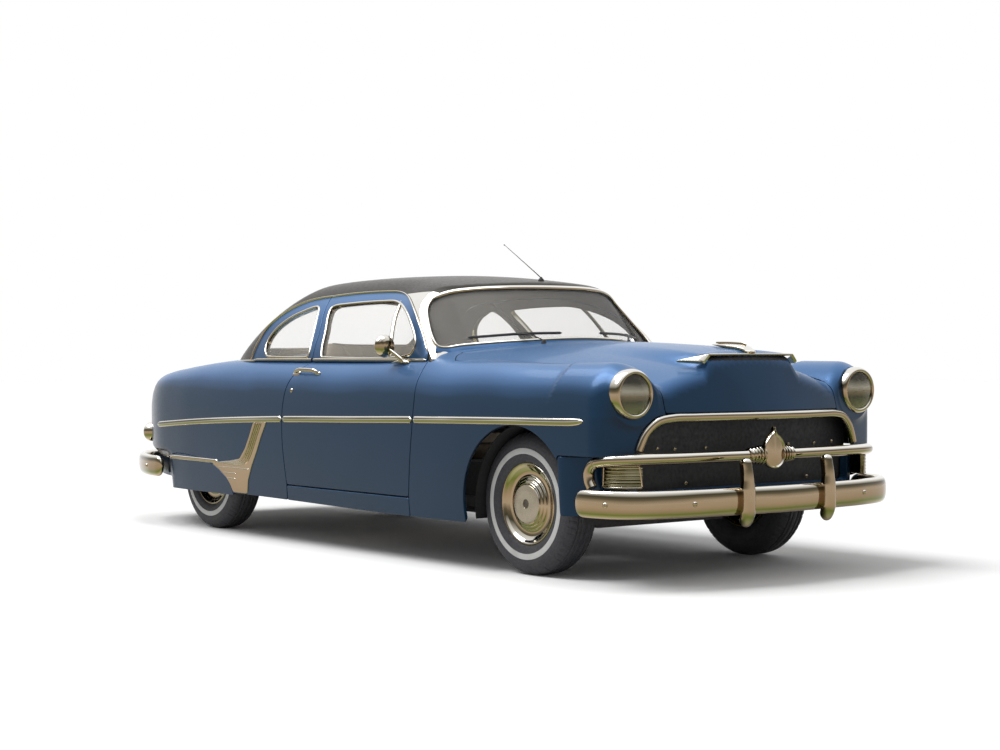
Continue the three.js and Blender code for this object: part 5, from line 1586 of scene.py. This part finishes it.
# %% [markdown]
# ## Seats
# The benches are sprung frames under a layer of padding and cloth. Each cushion starts as a rounded block
# along its side profile, a little slimmer than the space it has, and is then blown up from inside as cloth
# under gentle pressure, which gives it the full crown and the tight edges of a stuffed seat. Upright
# channels are pressed in afterwards, and the piping along the front edge is a cord of its own. The cloth
# needs many small faces to swell evenly, and the finished seat doesn't, so they are thinned out at the end.

# %% Seat cushions
seat_cloth = finish("seat_cloth", tone(176, 158, 134), tone(156, 139, 117), (0.8, 0.95), drift=4.0,
    grain=220.0, bump=0.5,
                    bump_scale=1100.0, Sheen_Weight=0.35, Sheen_Roughness=0.5)
piping_cloth = finish("seat_piping", tone(128, 118, 102), tone(116, 107, 92), (0.7, 0.85), drift=8.0,
    bump=0.4, bump_scale=900.0)


def cushion_block(name, profile, half_width, channels):
    """A block along a closed side profile, pulled in at its two ends."""
    profile = spline(profile, 72, closed=True)
    middle = profile.mean(0)
    y = np.concatenate([[-half_width, -half_width + 6], np.linspace(-half_width + 30, half_width - 30,
        2 * channels + 9), [half_width - 6, half_width]])
    rings = []
    for at in y:
        inset = 1 - 0.10 * np.clip(1 - (half_width - abs(at)) / 40, 0, 1) ** 1.5
        xz = middle + (profile - middle) * inset
        rings.append(np.stack([xz[:, 0], np.full(72, at), xz[:, 1]], 1))
    return mesh_object(name, skinned(np.array(rings)), [seat_cloth])


def apply_modifier(obj, frame_number=None):
    scene = bpy.context.scene
    if frame_number:
        for step in range(1, frame_number + 1):
            scene.frame_set(step)
    evaluated = obj.evaluated_get(bpy.context.evaluated_depsgraph_get())
    mesh = bpy.data.meshes.new_from_object(evaluated)
    obj.modifiers.clear()
    obj.data = mesh
    if frame_number:
        scene.frame_set(1)


def coordinates(obj):
    p = np.zeros(len(obj.data.vertices) * 3)
    obj.data.vertices.foreach_get("co", p)
    return p.reshape(-1, 3)


VOXEL, PRESSURE, MOST_SWELL, FACES_KEPT = 0.012, 4.0, 0.024, 0.25


def stuff(obj):
    """Blow the block up as cloth and keep every point near where it started."""
    remesh = obj.modifiers.new("even_mesh", "REMESH")
    remesh.mode, remesh.voxel_size = "VOXEL", VOXEL
    apply_modifier(obj)
    start = coordinates(obj)
    cloth = obj.modifiers.new("stuffing", "CLOTH")
    cloth.settings.use_pressure = True
    cloth.settings.uniform_pressure_force = PRESSURE
    cloth.settings.effector_weights.gravity = 0.0
    cloth.settings.quality = 4
    apply_modifier(obj, 20)
    moved = coordinates(obj) - start
    length = np.linalg.norm(moved, axis=1)[:, None]
    p = start + moved * np.minimum(1, MOST_SWELL / np.maximum(length, 1e-9))
    obj.data.vertices.foreach_set("co", p.ravel())
    return obj


def press_channels(obj, count, half_width, depth, facing):
    """Sewn channels across the face that looks along the given direction."""
    p = coordinates(obj)
    normals = np.zeros(len(p) * 3)
    obj.data.vertices.foreach_get("normal", normals)
    n = normals.reshape(-1, 3)
    share = np.clip(n @ (np.array(facing) / np.linalg.norm(facing)), 0, 1) ** 0.7
    pitch = 2 * half_width * MM / count
    phase = (p[:, 1] + half_width * MM) / pitch
    near = np.abs(phase - np.round(phase)) * pitch
    inside = np.abs(p[:, 1]) < (half_width - 60) * MM
    sunk = depth * MM * np.exp(-(near / 0.011) ** 2) * share * inside
    obj.data.vertices.foreach_set("co", (p - n * sunk[:, None]).ravel())
    obj.data.update()
    smooth = obj.modifiers.new("smooth", "SUBSURF")
    smooth.levels = smooth.render_levels = 1
    apply_modifier(obj)


def thin_out(obj):
    """Larger faces where the cloth lies flat; the channels and edges keep theirs."""
    fewer = obj.modifiers.new("fewer_faces", "DECIMATE")
    fewer.ratio = FACES_KEPT
    apply_modifier(obj)
    obj.data.shade_smooth()


SEATS = {
    "front_cushion": ([(-470, 310), (-60, 300), (30, 330), (92, 430), (112, 525), (80, 580), (-60, 584),
    (-270, 552), (-460, 540)], 622, 10, (0, 0, 1), "front_seat"),
    "front_backrest": ([(-350, 600), (-378, 760), (-404, 920), (-428, 1090), (-456, 1150), (-506, 1156),
    (-534, 1108), (-524, 900), (-512, 600)], 622, 10, (1, 0, 0.2), "front_seat"),
    "rear_cushion": ([(-1040, 310), (-830, 300), (-775, 400), (-758, 510), (-785, 556), (-860, 560),
    (-1030, 540)], 590, 9, (0, 0, 1), "rear_seat"),
    "rear_backrest": ([(-925, 585), (-955, 800), (-985, 1062), (-1002, 1126), (-1032, 1132), (-1048, 1090),
    (-1050, 800), (-1048, 585)], 600, 9, (1, 0, 0.2), "rear_seat"),
}
RIDGES = {"front_cushion": (0.8, 0, 0.6), "front_backrest": (0.35, 0, 1), "rear_cushion": (0.8, 0, 0.6)}
PIPING_REACH, PIPING_LIFT = 560.0, 1.5


def piping(seat, towards):
    """A cord laid along the ridge of a stuffed piece that sticks out furthest in one direction."""
    p = coordinates(seat) / MM
    line = []
    for y in np.linspace(-PIPING_REACH, PIPING_REACH, 49):
        near = p[np.abs(p[:, 1] - y) < 14]
        line.append(near[np.argmax(near @ towards)])
    line = np.array(line)
    line[:, 1] = np.linspace(-PIPING_REACH, PIPING_REACH, 49)
    for _ in range(3):
        line[1:-1, ::2] = (line[:-2, ::2] + 2 * line[1:-1, ::2] + line[2:, ::2]) / 4
    towards = np.array(towards) / np.linalg.norm(towards)
    return swept(line + towards * PIPING_LIFT, oval(9, 9, 12))


cords = []
for name, (profile, half_width, channels, facing, node) in SEATS.items():
    seat = stuff(cushion_block(name, profile, half_width, channels))
    press_channels(seat, channels, half_width, 9.0, facing)
    if name in RIDGES:
        cords.append(piping(seat, RIDGES[name]))
    thin_out(seat)
    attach(seat, "body")
    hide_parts(node)
    print(name, len(seat.data.polygons), "faces")
place("seat_piping_cord", merged(*cords), [piping_cloth], "body", "seat_cloth")

# %% [markdown]
# ## Dashboard and steering wheel
# The dashboard is a painted pressing with a hooded cluster in front of the driver, a speaker grille in the
# middle and a row of knobs. The wheel has a thin moulded rim with finger grips on its far side, two
# spokes and a bright half ring for the horn.

# %% Dashboard and steering wheel
dash_paint = finish("dash_paint", tone(58, 52, 46), tone(50, 45, 40), (0.4, 0.55), 0.1, drift=2.0, bump=0.2,
    bump_scale=500.0)
dial_face = finish("dial_face", tone(206, 200, 184), tone(190, 184, 168), (0.4, 0.5), drift=20.0, bump=0.05)
section = spline([(708, 900), (698, 960), (700, 1010), (722, 1048), (782, 1074), (900, 1076), (955, 1040),
    (955, 905), (862, 830), (742, 846)], 60, closed=True)
dash_y = np.concatenate([[-650, -646], np.linspace(-630, 630, 15), [646, 650]])
dash_rings = [np.stack([832 + (section[:, 0] - 832) * k, np.full(60, y), 960 + (section[:, 1] - 960) * k],
    1)
              for y, k in zip(dash_y, [0.9, 0.97] + [1.0] * 15 + [0.97, 0.9])]
bars = [swept([(700, -130, z), (698, 0, z), (700, 130, z)], oval(5, 5, 8)) for z in np.linspace(930, 1000,
    8)]
DIALS = ((370, 58), (262, 26), (478, 26))
dials = [lathe([(r - 4, 3), (r, 5), (r + 3, 0), (r + 3, -14), (r - 4, -14)], 1.5, (699, y, 968),
    (-1, 0, 0.12), 40, closed=True)
         for y, r in DIALS]
knobs = [lathe([(0, 16), (8, 15), (10, 8), (8, 0), (0, 0)], 2, (702, y, 918), (-1, 0, 0),
    18) for y in (-420, -360, -60, 60, 180, 560)]
faces = [turned([(0, 2), (r - 3, 2), (r - 3, -4), (0, -4)], (699, y, 968), (-1, 0, 0.12), 40)
         for y, r in DIALS]
place("dashboard_pressing", skinned(np.array(dash_rings)), [dash_paint], "body", "body_paint",
    ["dashboard"])
bright("dash_brightwork", merged(*bars, *dials, *knobs))
place("dash_dials", merged(*faces), [dial_face], "body", "black_plastic")

WHEEL_CENTRE = np.array([400.0, 370.0, 950.0])
WHEEL_AXIS = np.array([-0.91309, 0.0, 0.40776])
across = np.array([0.0, 1.0, 0.0])
upward = np.cross(WHEEL_AXIS, across)


def on_wheel(radius, turn, height=0.0):
    turn = np.asarray(turn)[:, None]
    return WHEEL_CENTRE + radius * (np.cos(turn) * across + np.sin(turn) * upward) + WHEEL_AXIS * height


full = np.linspace(0, 2 * math.pi, 180, endpoint=False)
grip = 1 + 0.05 * np.cos(full * 48)
rim = swept(on_wheel(205, full), oval(24, 22, 16), up=WHEEL_AXIS, closed=True, size=grip)
reach = np.linspace(30, 200, 12)[:, None]
spokes = [swept(WHEEL_CENTRE + reach * (s * across - 0.12 * upward), oval(26, 9, 16), up=WHEEL_AXIS,
                size=np.linspace(1.15, 0.7, 12)) for s in (-1, 1)]
hub = lathe([(0, 34), (26, 30), (38, 14), (44, -20), (30, -30), (0, -30)], 6, WHEEL_CENTRE, WHEEL_AXIS, 40)
horn = swept(on_wheel(118, np.linspace(math.pi * 1.08, math.pi * 1.92, 60), 10), oval(8, 7, 12),
    up=WHEEL_AXIS)
button = lathe([(0, 40), (16, 38), (24, 32), (24, 26), (0, 26)], 3, WHEEL_CENTRE, WHEEL_AXIS, 32)
place("steering_wheel_rim", merged(rim, *spokes, hub), [dark_plastic], "steering_wheel", "black_plastic",
    ["steering_wheel"])
bright("horn_ring", merged(horn, button), body="steering_wheel")

# %% [markdown]
# ## Mirrors, handles, wipers and aerial
# The small bright pieces finish the outside. The mirror is a bowl on a leaning stalk with a long foot, the
# door handle is a curved pull with a lock button under it, and the wipers rest along the foot of the glass.

# %% Small pieces outside
mirror_glass = finish("mirror_glass", tone(228, 232, 232), tone(220, 226, 226), (0.01, 0.03), 1.0,
    drift=8.0, bump=0.01)
HEAD = (560, 905, 1122)
head_profile = filleted([(0, 10), (52, 10), (55, 12), (60, 9), (60, 0), (57, -9), (48, -22), (31, -33),
    (13, -38), (0, -39)], 4)
head = turned(head_profile, HEAD, (-1, 0, 0), 64)
stalk = swept(spline([(664, 858, 1038), (650, 868, 1056), (602, 892, 1096), (566, 903, 1118)], 40),
    oval(15, 13, 18), size=np.linspace(2.3, 0.85, 40) ** 0.9)
foot = swept(spline([(704, 848, 1034), (668, 852, 1041), (610, 857, 1040), (562, 860, 1034)], 40),
    oval(38, 24, 24),
             size=np.interp(np.linspace(0, 1, 40), [0, 0.08, 0.3, 1], [0.3, 0.8, 1.0, 0.12]))
bright_pair("mirror_body", merged(head, stalk, foot), "{side}_mirror", body="{side}_door")
place_pair("mirror_face", lathe([(0, 13), (51, 13), (51, 9), (0, 9)], 1, HEAD, (-1, 0, 0), 64),
    [mirror_glass], "{side}_door", "chrome_trim")

grip_line = from_side(BODY, spline([(-336, 972), (-300, 975), (-180, 975), (-80, 972)], 60))
stand = np.interp(np.linspace(0, 1, 60), [0, 0.12, 0.3, 0.85, 1], [3, 16, 26, 24, 12])
pull = swept(grip_line + normals_of(BODY, grip_line) * stand[:, None], oval(13, 22, 20),
    size=tapered(grip_line, 16, 30))
plate = moulding(BODY, from_side(BODY, np.linspace((-346, 972), (-276, 973), 24)), 17, 6, ends=(16, 16))
foot_end = moulding(BODY, from_side(BODY, np.linspace((-112, 972), (-64, 972), 20)), 11, 10, ends=(12, 12))
lock_at = from_side(BODY, np.array([(-293.0, 875.0)]))
lock = lathe([(0, 6), (9, 5), (13, 1), (13, -3), (0, -3)], 2, lock_at[0], normals_of(BODY, lock_at)[0], 28)
bright_pair("door_handle", merged(pull, plate, foot_end, lock), body="{side}_door")

GLASS_TOP = cabin_skin(-2.0)
blade_line = from_front(GLASS_TOP, spline([(130, 1192), (360, 1186), (600, 1166)], 40), SCREEN_START)
blade = swept(blade_line, oval(7, 14, 12), size=tapered(blade_line, 8, 8))
pivot = from_above(BODY, np.array([(1150.0, 300.0)]))[0]
arm_line = spline([pivot + [0, 0, 16], (pivot + blade_line[22]) / 2 + [14, 0, 22],
    blade_line[22] + [8, 0, 6]], 24)
arm = swept(arm_line, oval(9, 5, 12), size=np.linspace(1.3, 0.8, 24))
boss = lathe([(0, 22), (9, 20), (12, 10), (16, 0), (0, 0)], 2, pivot, (0.2, 0, 1), 24)
place_pair("wiper", merged(blade, arm, boss), [dark_plastic], "body", "black_plastic")

mast = swept(spline([(765, 0, 1498), (740, 0, 1514), (440, 0, 1695)], 40), oval(6, 6, 10),
    size=np.linspace(1.0, 0.45, 40))
tip = lathe([(0, 4), (3, 3), (4, 0), (3, -3), (0, -4)], 1, (440, 0, 1694), (-0.85, 0, 0.5), 14)
boot = lathe([(0, 20), (6, 19), (8, 12), (14, 8), (17, 0), (17, -4), (0, -4)], 2, (765, 0, 1484), (0, 0, 1),
    24)
place("aerial", merged(mast, tip, boot), [chassis_steel], "body", "chrome_trim", ["antenna"])

lid_pull = from_front(LID, spline([(-70, 706), (0, 712), (70, 706)], 30), TAIL_START)
lid_handle = swept(lid_pull + normals_of(LID, lid_pull) * 16, oval(15, 18, 16),
    size=tapered(lid_pull, 14, 14))
lid_plate = moulding(LID, from_front(LID, np.linspace((-84, 706), (84, 706), 30), TAIL_START), 13, 6,
    ends=(12, 12))
bright("trunk_handle", merged(lid_handle, lid_plate), body="trunk_lid")

# %% [markdown]
# ## The studio
# The car stands on a pale floor under one big soft light from the rear right and an even white room. The
# room is kept at half strength for the light it sheds, and at full white for what is seen directly or
# mirrored in chrome, glass and lacquer. The floor is so pale that lit parts melt into the background while
# the shadow under the car stays.

# %% Camera, light and floor
def camera_at(position, turn, pitch, focal):
    camera = bpy.data.objects.new("camera", bpy.data.cameras.new("camera"))
    camera.data.lens = focal
    camera.data.sensor_width = 36.0
    camera.data.clip_end = 200.0
    camera.location = position
    camera.rotation_euler = (math.radians(90 + pitch), math.radians(0.05), math.radians(turn))
    bpy.context.scene.collection.objects.link(camera)
    bpy.context.scene.camera = camera


def lamp(name, kind, towards, position=(0, 0, 0), **settings):
    data = bpy.data.lights.new(name, kind)
    for key, value in settings.items():
        setattr(data, key, value)
    obj = bpy.data.objects.new(name, data)
    obj.location = position
    obj.rotation_euler = Vector(towards).to_track_quat("-Z", "Y").to_euler()
    bpy.context.scene.collection.objects.link(obj)
    return obj


camera_at((8.745, -6.60, 1.09), 51.66, -0.70, 67.64)
view = bpy.context.scene.view_settings
view.view_transform = "Standard"

lamp("key_light", "SUN", (0.45, 0.50, -0.95), energy=2.1, angle=math.radians(34))
lamp("roof_softbox", "AREA", (0, 0, -1), (-0.2, -0.9, 5.2), energy=90, shape="RECTANGLE", size=6.0,
    size_y=1.6)

world = bpy.data.worlds.new("pale_room")
bpy.context.scene.world = world
world.use_nodes = True
tree = world.node_tree
tree.nodes.clear()
path = add_node(tree, "ShaderNodeLightPath")
seen = path.outputs["Is Camera Ray"]
for ray in ("Is Glossy Ray", "Is Transmission Ray"):
    either = add_node(tree, "ShaderNodeMath", operation="MAXIMUM")
    tree.links.new(seen, either.inputs[0])
    tree.links.new(path.outputs[ray], either.inputs[1])
    seen = either.outputs[0]
room = add_node(tree, "ShaderNodeBackground", Color=(1, 1, 1, 1), Strength=0.5)
white = add_node(tree, "ShaderNodeBackground", Color=(1, 1, 1, 1), Strength=1.0)
either = add_node(tree, "ShaderNodeMixShader")
tree.links.new(seen, either.inputs[0])
tree.links.new(room.outputs[0], either.inputs[1])
tree.links.new(white.outputs[0], either.inputs[2])
tree.links.new(either.outputs[0], add_node(tree, "ShaderNodeOutputWorld").inputs[0])

floor_finish = finish("pale_floor", (0.97, 0.97, 0.97, 1), (0.96, 0.96, 0.96, 1), (0.9, 0.95), drift=0.3,
    bump=0.01)
floor_mesh = bpy.data.meshes.new("floor")
disc = [(60 * math.cos(t), 60 * math.sin(t), 0.0) for t in np.linspace(0, 2 * math.pi, 96, endpoint=False)]
floor_mesh.from_pydata(disc, [], [list(range(96))])
floor_mesh.materials.append(floor_finish)
floor = bpy.data.objects.new("floor", floor_mesh)
bpy.context.scene.collection.objects.link(floor)
